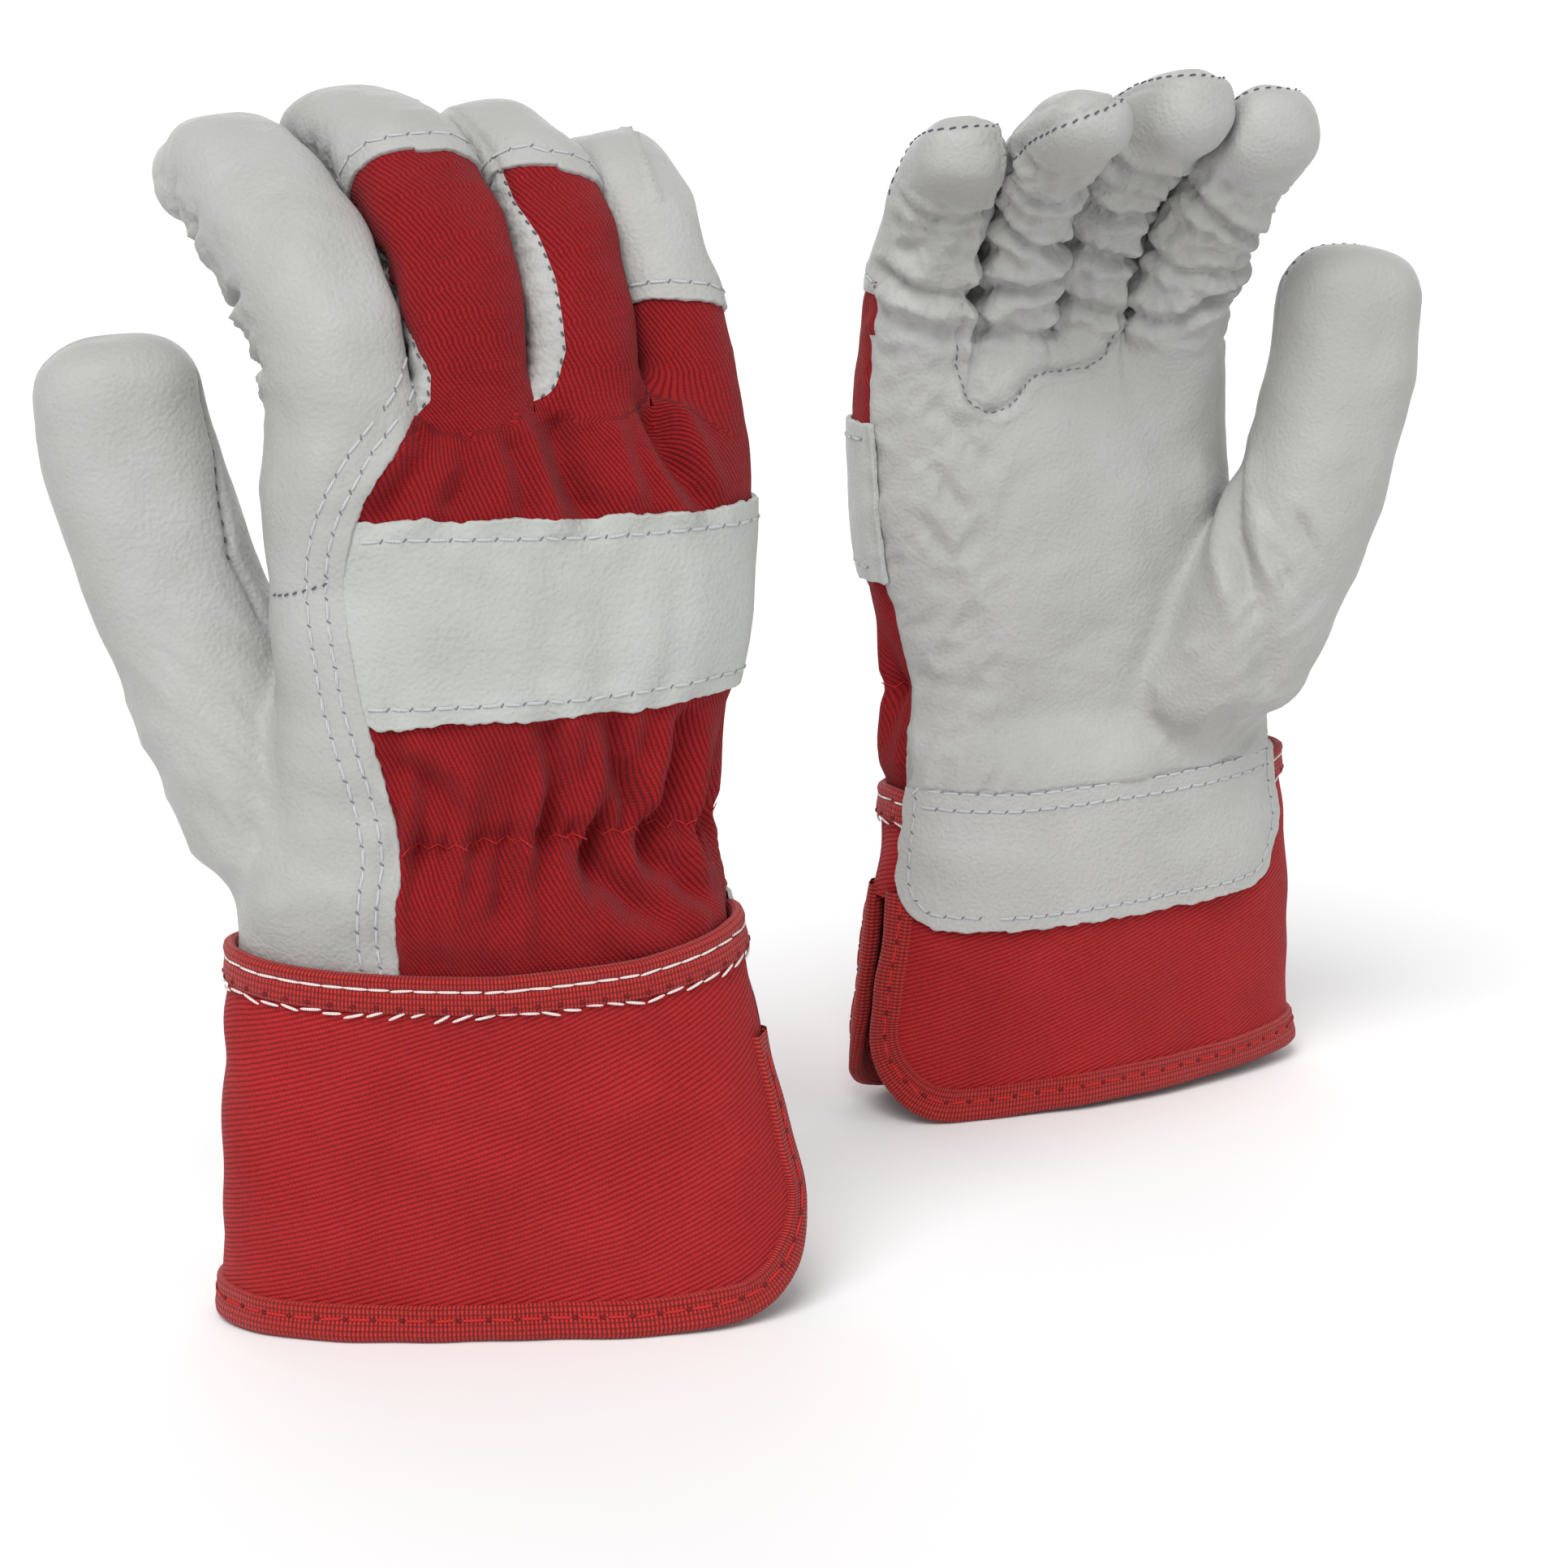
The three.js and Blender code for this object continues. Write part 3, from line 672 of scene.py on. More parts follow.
def relief(glove, p, part):
    """How far the skin stands off its smooth base, and how creased the leather is, which also sets
    painted shade in its crease lines.
    """
    red, radial, ulnar = red_on_hand(p)
    angle, x = around_hand(p)
    z = p[:, 2]
    others = np.minimum.reduce([part[k] for k in ("hand", *FINGERS)])
    thumb = smooth(others - part["thumb"], -3, 5)
    fingers = smooth(z, 170, 186) * (1 - thumb)
    hand = (1 - smooth(z, 174, 188)) * (1 - thumb)
    back_side, palm_side = 1 - smooth(p[:, 1], -2, 6), smooth(p[:, 1], 2, 9)
    cloth = smooth(red, -1, 2) * hand
    d = 0.26 * waves(p, 16, 3) + 0.1 * waves(p, 7, 4)
    # The crease mask: where the leather is creased, which also sets painted shade in its crease
    # lines.
    worn = np.zeros(len(p))

    # The elastic gathers the back of the wrist, and the cloth puffs out above and below it.
    level = z - ELASTIC_Z - 0.8 * np.sin(x / 9)
    gather = np.sin(2 * math.pi * x / 6.3 + 1.1 * waves(p * [1, 0, 0.12], 9, 5))
    wide = np.sin(2 * math.pi * x / 12.5 + 1.3 * waves(p * [1, 0, 0.3], 14, 6))
    d += cloth * (1.6 * gather * np.exp(-np.abs(level) / 8)
                  + 1.9 * wide * np.exp(-np.abs(level) / 17)
                  - 1.8 * valley(level, 2.8) + 1.8 * smooth(z, 74, 82) * (1 - smooth(z, 82, 97)))
    leather = hand * (1 - smooth(red, -3, 0))
    low = valley(z - ELASTIC_Z, 16) * leather
    d += low * 0.3 * waves(p * [0.5, 0.5, 1.6], 7, 8)
    worn += 0.6 * low

    # The curved seam under the middle and ring fingers is a welt with a hollow above it.
    gunn, on_gunn = around_gunn(p)
    d += on_gunn * (0.7 * valley(gunn + 1.2, 0.9) - 1.4 * valley(gunn - 0.4, 0.9)
                    + 0.8 * valley(gunn - 4.5, 3))
    side = hand * palm_side * smooth(p[:, 0], 14, 34)
    worn += 0.6 * side
    skewed = p @ np.array([[0.8, 0, 0.5], [0, 1, 0], [0.9, 0, -0.5]])
    d += side * 0.5 * (0.5 - np.abs(waves(skewed, 6, 9)))
    worn += 0.7 * hand * palm_side * smooth(z, 158, 172)

    # The hollow beside each seam.
    d -= 0.5 * valley(ulnar, 1.0) * hand * (p[:, 0] > 0)
    for at in ROW_INSETS:
        d -= 0.22 * valley(radial + at, 0.8) * hand * back_side
    for width, depth, line in FOLDS[glove.name]:
        line = np.array(line, float)
        box = np.all((p > line.min(0) - 4 * width) & (p < line.max(0) + 4 * width), axis=1)
        d[box] += FOLD_STRENGTH[glove.name] * crease(p[box], line, width, depth)
        gap, _ = line_distance(p[box], line)
        worn[box] += 0.5 * np.exp(-((gap / width / 2.5) ** 2))

    names = ("hand", *glove.digits)
    labels = np.argmin([part[k] for k in names], axis=0)
    for name, digit in glove.digits.items():
        me = labels == names.index(name)
        q = p[me]
        f = Finger(name, digit, q)
        if name == "thumb":
            add, use = thumb_relief(glove, q, f)
            weight = thumb[me]
        else:
            add, use = finger_relief(JOINTS[glove.name][name], name, digit, q, f)
            weight = fingers[me]
        d[me] += add * weight
        worn[me] += use * weight
    return d, np.clip(worn, 0, 1)


def finger_relief(joints, name, digit, q, f):
    """Relief and crease mask at points q of a finger: joint folds, crinkles, and hollows beside
    seams. The crease mask also sets painted shade in the crease lines.
    """
    add, use = np.zeros(len(q)), np.zeros(len(q))
    palm = smooth(f.b / f.h, -0.45, 0.4)
    for share, depth in joints:
        tilt = 0.35 * math.sin(40 * share) * f.a
        at = f.s - share * digit.total + tilt + 1.5 * waves(q * [1, 1, 0.2], 13, 11)
        add += palm * depth * 0.9 * (0.7 * valley(np.abs(at) - 4.0, 2.2) - valley(at, 1.5))
        use += palm * np.exp(-np.abs(at) / 7)
    bends = smooth(f.share, 0.25, 0.35) * (1 - smooth(f.share, 0.8, 0.92))
    add += palm * bends * 0.8 * (0.5 - np.abs(waves(q * [0.8, 0.8, 1.4], 6, 13)))
    add += palm * bends * 0.5 * (0.5 - np.abs(waves(q * [1.2, 1.2, 0.8], 4, 17)))
    add += 0.25 * (1 - palm) * waves(q, 11, 14)
    add -= 0.7 * valley(np.abs(f.front), 0.9) * (1 - 0.7 * smooth(-f.a, 2, 6) * (name == "index"))
    if name == "index":
        on_seam = valley(np.abs(f.angle - INDEX_SEAM) * 0.22, 0.8)
        add -= 0.6 * on_seam * (1 - smooth(f.share, 0.7, 0.8))
    else:
        edge = np.minimum(np.abs(f.radial), np.abs(f.ulnar))
        add -= 0.45 * valley(edge, 0.8) * (f.b < 0)
        side = (f.red < -0.6) & (f.front < 0) & (f.cap < 0)
        add += side * 0.22 * np.sin(f.s * 2 * math.pi / 3.6 + 1.5 * waves(q, 6, 15))
        use += 0.7 * side
    return add, use


def thumb_relief(glove, q, f):
    """Relief and crease mask at points q of the thumb, which also sets painted shade in the crease
    lines.
    """
    add, use = np.zeros(len(q)), np.zeros(len(q))
    add -= 0.6 * valley(np.abs(f.front), 0.9) * smooth(f.share, 0.78, 0.84)
    if glove.name == "near":
        near = smooth(f.s, 48, 54) * (1 - smooth(f.s, 100, 108))
        add -= near * 1.2 * valley((f.angle - thumb_seam(f.s)) * 0.3, 1.1)
        use += near * np.exp(-np.abs(f.angle - thumb_seam(f.s)) / 14)
    base = 1 - smooth(f.share, 0.35, 0.62)
    slanted = q @ np.array([[1, 0, 0.6], [0, 1, 0], [0.4, 0, 1]])
    add += base * 0.35 * (0.5 - np.abs(waves(slanted, 8, 16)))
    use += 0.8 * base
    return add, use


def thumb_seam(s):
    """Angle of the seam on the thumb's inner edge at each distance along it."""
    return np.interp(s, [58, 66, 77, 87, 102, 113], [44, 40, 50, 62, 72, 76])


# ---- putting meshes into the scene ----

PLACES = {}
for name in ("near", "far"):
    joint = next(j for j in frame["joints"] if j["name"] == f"{name}_wrist_fold")
    across = -np.array(joint["axis"][:2])
    PLACES[name] = (np.array(joint["pos_m"][:2]), across, np.array([-across[1], across[0]]))


def world(name, p, vector=False):
    """Points in a glove's millimetres as row-frame metres."""
    origin, across, palmward = PLACES[name]
    p = np.atleast_2d(np.asarray(p, float))
    flat = p[:, :1] * across + p[:, 1:2] * palmward
    if vector:
        return np.concatenate([flat, p[:, 2:3]], 1)
    return np.concatenate([flat * MM + origin, p[:, 2:3] * MM], 1)


def build(label, name, points, tri, normals, material, uv=None, creases_and_shade_values=None):
    """An object from arrays in glove millimetres, with smooth normals and its own attributes."""
    mesh = bpy.data.meshes.new(label)
    co = world(name, points)
    tri = np.asarray(tri)
    mesh.vertices.add(len(co))
    mesh.vertices.foreach_set("co", co.ravel())
    mesh.loops.add(tri.size)
    mesh.loops.foreach_set("vertex_index", tri.ravel().astype(np.int32))
    mesh.polygons.add(len(tri))
    mesh.polygons.foreach_set("loop_start", np.arange(0, tri.size, tri.shape[1], dtype=np.int32))
    mesh.polygons.foreach_set("use_smooth", np.ones(len(tri), bool))
    mesh.update(calc_edges=True)
    if uv is not None:
        layer = mesh.uv_layers.new(name="UVMap")
        layer.data.foreach_set("uv", (np.asarray(uv)[tri.ravel()] * MM).ravel().astype(np.float32))
    rest = mesh.attributes.new("rest", "FLOAT_VECTOR", "POINT")
    rest.data.foreach_set("vector", (np.asarray(points) * MM).ravel().astype(np.float32))
    # The crease mask, which also sets painted shade in the leather's crease lines.
    worn = mesh.attributes.new("worn", "FLOAT", "POINT")
    creases_and_shade_values = np.zeros(len(co)) if creases_and_shade_values is None else creases_and_shade_values
    worn.data.foreach_set("value", creases_and_shade_values.astype(np.float32))
    mesh.normals_split_custom_set_from_vertices(world(name, normals, vector=True))
    mesh.materials.append(material)
    obj = bpy.data.objects.new(label, mesh)
    bpy.context.scene.collection.objects.link(obj)
    return obj


# How round a raw edge is, and how far it goes down to the layer below.
RIM_RADIUS, RIM_DROP = 0.5, 0.7


def rims(mesh, points, tag, rough):
    """Rounded rims where a cut with this tag left an edge: points, normals, tris, sources."""
    tri = mesh.tri
    edges = np.concatenate([tri[:, [0, 1]], tri[:, [1, 2]], tri[:, [2, 0]]])
    key = np.sort(edges, 1)
    _, first, count = np.unique(key, axis=0, return_index=True, return_counts=True)
    border = edges[first[count == 1]]
    tagged = np.round(mesh["tag"]) == tag
    border = border[tagged[border].all(1)]
    if not len(border):
        return None
    used, flat = np.unique(border, return_inverse=True)
    flat = flat.reshape(-1, 2)
    n = mesh["normal"][used]
    p = points[used]
    along = p[flat[:, 1]] - p[flat[:, 0]]
    out = np.zeros_like(p)
    for k in (0, 1):
        np.add.at(out, flat[:, k], np.cross(along, n[flat[:, k]]))
    out /= np.maximum(np.linalg.norm(out, axis=1, keepdims=True), 1e-9)
    jag = rough * waves(p, 1.3, 0) + rough * 0.8 * waves(p, 4, 1)
    rows, normals = [p], [n]
    for turn in (30, 60, 90):
        a = math.radians(turn)
        reach = RIM_RADIUS * math.sin(a) + jag * math.sin(a)
        rows.append(p + out * reach[:, None] - n * RIM_RADIUS * (1 - math.cos(a)))
        normals.append(out * math.sin(a) + n * math.cos(a))
    rows.append(rows[-1] - n * RIM_DROP)
    normals.append(out)
    m = len(used)
    quads = []
    for i in range(len(rows) - 1):
        a, b = flat[:, 0] + i * m, flat[:, 1] + i * m
        quads.append(np.stack([a, a + m, b + m], 1))
        quads.append(np.stack([a, b + m, b], 1))
    return (np.concatenate(rows), np.concatenate(normals), np.concatenate(quads),
            np.tile(used, len(rows)))


def panel(label, name, mesh, material, rough=None):
    """A panel's object: its face and, where rough is given, the rims along its raw edges."""
    points = mesh.place()
    tri, normals, uv, worn = mesh.tri, mesh["normal"], mesh["uv"], mesh["worn"]
    rim = rims(mesh, points, RAW, rough) if rough else None
    if rim is not None:
        more, rim_normals, rim_tri, source = rim
        tri = np.concatenate([tri, rim_tri + len(points)])
        points = np.concatenate([points, more])
        normals = np.concatenate([normals, rim_normals])
        uv = np.concatenate([uv, uv[source]])
        worn = np.concatenate([worn, worn[source]])
    return build(label, name, points, tri, normals, material, uv, worn)


def capsule(sides=6):
    xs, rs = [-0.5, -0.46, -0.3, 0, 0.3, 0.46, 0.5], [0.05, 0.6, 0.95, 1, 0.95, 0.6, 0.05]
    ring = np.arange(sides) * 2 * math.pi / sides
    points = [(x, r * math.cos(a), r * math.sin(a)) for x, r in zip(xs, rs) for a in ring]
    faces = []
    for i in range(len(xs) - 1):
        for j in range(sides):
            a, b = i * sides + j, i * sides + (j + 1) % sides
            faces += [(a, b, b + sides), (a, b + sides, a + sides)]
    return np.array(points), np.array(faces)


CAPSULE = capsule()


def resample(line, pitch, offset=0.5):
    points, normals = line
    length = np.r_[0, np.cumsum(np.linalg.norm(np.diff(points, axis=0), axis=1))]
    count = int(length[-1] / pitch)
    at = (np.arange(count) + offset) * pitch
    pick = lambda table, s: np.stack([np.interp(s, length, table[:, k]) for k in range(3)], 1)
    p, n = pick(points, at), pick(normals, at)
    t = pick(points, at + 0.6) - pick(points, at - 0.6)
    t /= np.maximum(np.linalg.norm(t, axis=1, keepdims=True), 1e-9)
    n /= np.maximum(np.linalg.norm(n, axis=1, keepdims=True), 1e-9)
    return p, t, n


# Kinds of stitch: length, width, height, rise, arch, slant, offset along the row, wobble.
STITCHES = {
    "leather": (3.3, 0.34, 0.22, 0.02, 0.08),
    # Dark slanted marks between leather stitches: painted shade in the needle punctures.
    "leather hole": (1.1, 0.2, 0.1, 0.0, 0.0, 0.9, 1.0),
    "palm seam": (1.3, 0.16, 0.16, 0.04, 0.05, 0.2),
    "zigzag left": (3.0, 0.14, 0.12, 0.0, 0.05, 0.55, 0.25),
    "zigzag right": (3.0, 0.14, 0.12, 0.0, 0.05, -0.55, 0.75),
    "hem": (4.4, 0.3, 0.22, 0.06, 0.08),
    # Dark marks between hem stitches: painted shade in the needle punctures.
    "hem hole": (0.9, 0.5, 0.2, 0.1, 0, 0, 0.0),
    "wrist": (4.5, 0.3, 0.26, 0.1, 0.1),
    "wrist wavy": (4.0, 0.3, 0.28, 0.15, 0.2, 0.1, 0.5, 0.12),
    # Dark marks on the wrist tape: painted shade in the needle punctures.
    "wrist hole": (1.1, 0.5, 0.25, 0.1, 0.0, 0.4, 0.0),
}
DARK_STITCH = (0.22, 0.2, 0.06, 0.08, 0.25)


def sew(lines, pitch, length, width, height, rise, arch, slant=0.0, offset=0.5, wobble=0.0):
    """Thread segments along lines, as one set of points and triangles."""
    rng = np.random.default_rng(1)
    all_points, all_tri, start = [], [], 0
    shape, faces = CAPSULE
    for line in lines:
        p, t, n = resample(line, pitch, offset)
        side = np.cross(n, t)
        for k in range(len(p)):
            turn = slant + rng.normal() * 0.06
            x_axis = t[k] * math.cos(turn) + side[k] * math.sin(turn)
            y_axis = -t[k] * math.sin(turn) + side[k] * math.cos(turn)
            long = length * (1 + 0.08 * rng.normal())
            shift = wobble * rng.normal()
            bow = arch * (1 - (2 * shape[:, 0]) ** 2)
            q = (p[k] + side[k] * shift + x_axis * (shape[:, :1] * long)
                 + y_axis * (shape[:, 1:2] * width)
                 + n[k] * (shape[:, 2:3] * height + rise + bow[:, None]))
            all_points.append(q)
            all_tri.append(faces + start)
            start += len(q)
    if not all_points:
        return None
    return np.concatenate(all_points), np.concatenate(all_tri)


class Seams:
    """Collects the thread of one kind on one body, so that it becomes one object."""

    def __init__(self):
        self.parts = {}

    def add(self, key, sewn):
        if sewn is not None:
            self.parts.setdefault(key, []).append(sewn)

    def objects(self, name):
        for (label, attach, material), parts in self.parts.items():
            count, points, tri = 0, [], []
            for p, t in parts:
                points.append(p)
                tri.append(t + count)
                count += len(p)
            points, tri = np.concatenate(points), np.concatenate(tri)
            obj = build(f"{name}_{label}", name, points, tri, vertex_normals(points, tri),
                        MATERIALS[material])
            attach(obj)


# ---- materials ----

class Nodes:
    """A material's node tree with short calls for the nodes used here."""

    def __init__(self, name):
        self.material = bpy.data.materials.new(name)
        self.material.use_nodes = True
        self.tree = self.material.node_tree
        self.shader = self.tree.nodes["Principled BSDF"]

    def add(self, kind, inputs=None, **settings):
        node = self.tree.nodes.new(kind)
        for k, v in settings.items():
            setattr(node, k, v)
        for k, v in (inputs or {}).items():
            self.put(node.inputs[k], v)
        return node

    def put(self, socket, value):
        if isinstance(value, bpy.types.NodeSocket):
            self.tree.links.new(value, socket)
        else:
            socket.default_value = value

    def math(self, operation, a, b=0.0):
        return self.add("ShaderNodeMath", {0: a, 1: b}, operation=operation).outputs[0]

    def times(self, a, b):
        return self.math("MULTIPLY", a, b)

    def plus(self, a, b):
        return self.math("ADD", a, b)

    def minus(self, a, b):
        return self.math("SUBTRACT", a, b)

    def wave(self, a):
        """The size of the sine of a: one hump for each pi."""
        return self.math("ABSOLUTE", self.math("SINE", a))

    def mix(self, share, a, b):
        node = self.add("ShaderNodeMix", data_type="RGBA")
        self.put(node.inputs[0], share)
        self.put(node.inputs[6], a)
        self.put(node.inputs[7], b)
        return node.outputs[2]

    def noise(self, vector, scale, detail=2.0, rough=0.5):
        return self.add("ShaderNodeTexNoise", {"Vector": vector, "Scale": scale, "Detail": detail,
                                               "Roughness": rough}).outputs[0]

    def span(self, value, low, high, to_low=0.0, to_high=1.0):
        return self.add("ShaderNodeMapRange",
                        {0: value, 1: low, 2: high, 3: to_low, 4: to_high}).outputs[0]

    def bump(self, height, strength, distance, normal=None):
        node = self.add("ShaderNodeBump",
                        {"Height": height, "Strength": strength, "Distance": distance})
        if normal is not None:
            self.put(node.inputs["Normal"], normal)
        return node.outputs[0]

    def attribute(self, name, output):
        return self.add("ShaderNodeAttribute", attribute_name=name).outputs[output]

    def finish(self, color, rough, normal=None, **fixed):
        self.put(self.shader.inputs["Base Color"], color)
        self.put(self.shader.inputs["Roughness"], rough)
        if normal is not None:
            self.put(self.shader.inputs["Normal"], normal)
        for k, v in fixed.items():
            self.shader.inputs[k.replace("_", " ")].default_value = v
        return self.material


def srgb(r, g, b):
    return tuple(((c / 255 + 0.055) / 1.055) ** 2.4 if c > 10 else c / 255 / 12.92
                 for c in (r, g, b)) + (1.0,)


def leather(name, light, shade, grain=1.0):
    """Off-white grain leather: fine pebbles and pores, soft creases where the glove bends, with
    painted shade darkening the crease lines.
    """
    m = Nodes(name)
    rest = m.attribute("rest", "Vector")
    worn = m.attribute("worn", "Fac")
    big = m.noise(rest, 34, 3)
    small = m.noise(rest, 420, 4, 0.6)
    color = m.mix(m.span(big, 0.35, 0.68), light, shade)
    color = m.mix(m.times(m.span(small, 0.62, 0.8), 0.16), color, srgb(138, 138, 134))
    pebbles = m.add("ShaderNodeTexVoronoi", {"Vector": rest, "Scale": 1150.0},
                    feature="SMOOTH_F1").outputs[0]
    lines = m.noise(rest, 330, 4, 0.55)
    lines = m.math("ABSOLUTE", m.minus(lines, 0.5))
    lines = m.minus(1.0, m.span(lines, 0.0, 0.05))
    lines = m.times(lines, m.plus(m.times(worn, 0.9), 0.03))
    # Crease lines darkened towards grey where the leather is creased: painted shade in the creases.
    color = m.mix(m.times(lines, 0.12), color, srgb(132, 132, 129))
    normal = m.bump(pebbles, 0.6 * grain, 0.0003)
    normal = m.bump(m.noise(rest, 900, 1), 0.3 * grain, 0.0003, normal)
    normal = m.bump(m.noise(rest, 90, 2), 0.25, 0.0016, normal)
    normal = m.bump(lines, -0.8, 0.0008, normal)
    rough = m.span(m.noise(rest, 160, 2), 0.3, 0.7, 0.5, 0.64)
    return m.finish(color, rough, normal, Specular_IOR_Level=0.35, Sheen_Weight=0.06,
                    Sheen_Roughness=0.5)


def twill(name, light, dark, pitch, angle, lint=0.5):
    """Cotton twill: slanted ribs of yarn broken into short floats, with a little white lint."""
    m = Nodes(name)
    uv = m.add("ShaderNodeUVMap", uv_map="UVMap").outputs[0]
    rest = m.attribute("rest", "Vector")
    wander = m.noise(uv, 90, 2)
    turned = m.add("ShaderNodeMapping",
                   {"Vector": uv, "Rotation": (0, 0, math.radians(angle))}).outputs[0]
    parts = m.add("ShaderNodeSeparateXYZ", {0: turned})
    across = m.plus(m.times(parts.outputs[1], 1000 / pitch), m.times(wander, 0.7))
    along = m.times(parts.outputs[0], 1000 / (0.75 * pitch))
    rib = m.wave(m.times(across, math.pi))
    stagger = m.plus(along, m.times(m.math("FLOOR", across), 0.37))
    float_ = m.wave(m.times(stagger, math.pi))
    yarn = m.times(m.math("POWER", rib, 0.7), m.plus(0.72, m.times(float_, 0.28)))
    fuzz = m.noise(rest, 1500, 3, 0.7)
    tone = m.plus(m.times(yarn, 0.8), m.times(m.minus(fuzz, 0.5), 0.7))
    tone = m.plus(tone, m.times(m.minus(m.noise(rest, 45, 3), 0.5), 0.5))
    color = m.mix(m.span(tone, 0.1, 0.95), dark, light)
    specks = m.add("ShaderNodeTexVoronoi", {"Vector": rest, "Scale": 95.0, "Randomness": 1.0})
    spot = m.math("LESS_THAN", specks.outputs["Distance"], 0.045)
    some = m.add("ShaderNodeSeparateColor", {0: specks.outputs["Color"]}).outputs[0]
    spot = m.times(spot, m.math("LESS_THAN", some, 0.16 * lint))
    color = m.mix(spot, color, srgb(214, 178, 176))
    normal = m.bump(yarn, 0.75, 0.00035)
    normal = m.bump(fuzz, 0.35, 0.0003, normal)
    return m.finish(color, 0.86, normal, Specular_IOR_Level=0.15, Sheen_Weight=0.05,
                    Sheen_Roughness=0.5)


def ribbed(name, light, dark, pitch):
    """Woven binding tape: fine ribs across its width, a corded edge, and rows along it."""
    m = Nodes(name)
    uv = m.add("ShaderNodeUVMap", uv_map="UVMap").outputs[0]
    parts = m.add("ShaderNodeSeparateXYZ", {0: uv})
    x = m.times(parts.outputs[0], 1000 / pitch * math.pi)
    y = m.times(parts.outputs[1], 1000 / 1.15 * math.pi)
    rib = m.wave(x)
    row = m.math("POWER", m.wave(y), 0.35)
    weave = m.times(m.math("POWER", rib, 0.8), row)
    fuzz = m.noise(m.attribute("rest", "Vector"), 1400, 3, 0.7)
    tone = m.plus(m.times(weave, 0.85), m.times(m.minus(fuzz, 0.5), 0.5))
    color = m.mix(m.span(tone, 0.05, 0.95), dark, light)
    normal = m.bump(weave, 0.9, 0.0004)
    return m.finish(color, 0.75, normal, Specular_IOR_Level=0.3, Sheen_Weight=0.1,
                    Sheen_Roughness=0.4)


def thread(name, light, dark):
    m = Nodes(name)
    rest = m.attribute("rest", "Vector")
    ply = m.add("ShaderNodeTexWave", {"Vector": rest, "Scale": 900.0, "Distortion": 2.0}).outputs[1]
    color = m.mix(ply, dark, light)
    return m.finish(color, 0.7, m.bump(ply, 0.5, 0.0001), Specular_IOR_Level=0.3)


MATERIALS = {
    "leather": leather("leather_grain", srgb(169, 169, 167), srgb(161, 161, 158)),
    "strap": leather("strap_leather", srgb(175, 177, 174), srgb(167, 169, 165), 1.1),
    "patch": leather("patch_leather", srgb(173, 173, 171), srgb(165, 165, 161), 1.3),
    "drill": twill("red_drill", srgb(154, 27, 33), srgb(98, 10, 15), 0.85, 62),
    "cuff": twill("red_cuff_twill", srgb(176, 40, 43), srgb(124, 18, 22), 1.0, -18, 0.3),
    "tape": ribbed("red_binding_tape", srgb(198, 46, 42), srgb(96, 12, 14), 0.8),
    "lining": twill("lining_cotton", srgb(216, 208, 190), srgb(178, 168, 150), 1.4, 45, 0.1),
    "elastic": ribbed("elastic_braid", srgb(214, 212, 206), srgb(150, 146, 140), 1.3),
    "thread": thread("thread_grey", srgb(196, 198, 198), srgb(162, 164, 166)),
    "thread_white": thread("thread_white", srgb(238, 228, 224), srgb(196, 178, 176)),
    "thread_dark": thread("thread_dark", srgb(104, 106, 114), srgb(70, 72, 80)),
    # Grey marks at the needle punctures in leather: painted shade.
    "hole": thread("stitch_holes", srgb(126, 128, 132), srgb(98, 100, 106)),
    "thread_red": thread("thread_red", srgb(206, 44, 40), srgb(140, 20, 22)),
    # Dark red marks at the needle punctures in the tapes: painted shade.
    "hole_red": thread("stitch_holes_red", srgb(120, 16, 20), srgb(86, 8, 12)),
}


# ---- placing pieces: cuff pieces go on the cuff's body, the others stay where they are built ----

def on_hand(name):
    def attach(obj):
        (x, y), _, _ = PLACES[name]
        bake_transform(obj)
    return attach


def on_digit(name, digit):
    def attach(obj):
        if digit == "thumb":
            start, way = np.array(THUMB_START), np.array(THUMB_WAY)
            ends = world(name, [start, start + way * 22])
        else:
            u = hand_u(name, digit)
            ends = world(name, [(u, 0, WEB + 2), (u, 0, WEB + 20)])
        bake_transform(obj)
    return attach


def on_cuff(name):
    return lambda obj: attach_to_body(obj, f"{name}_cuff")


def hand_u(name, digit):
    return float(np.interp(WEB, *np.array(DIGITS[name][digit])[:5, [2, 0]].T))


THUMB_START = (-44, 11, 150)
THUMB_WAY = (-0.85, 0.3, 0.43)
CROSSING = [(-43, 145.6), (-40, 147), (-31, 150.7), (-24, 152)]


def finish_piece(obj, attach, nodes):
    attach(obj)
    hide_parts(*nodes)


# ---- the skin of one glove ----

SKIN_STEP = 1.0
SKIN_LOW, SKIN_HIGH = (-90, -32, 58), (66, 78, 246)
# Where the hand's panels end inside the cuff.
HAND_FOOT = 64.0


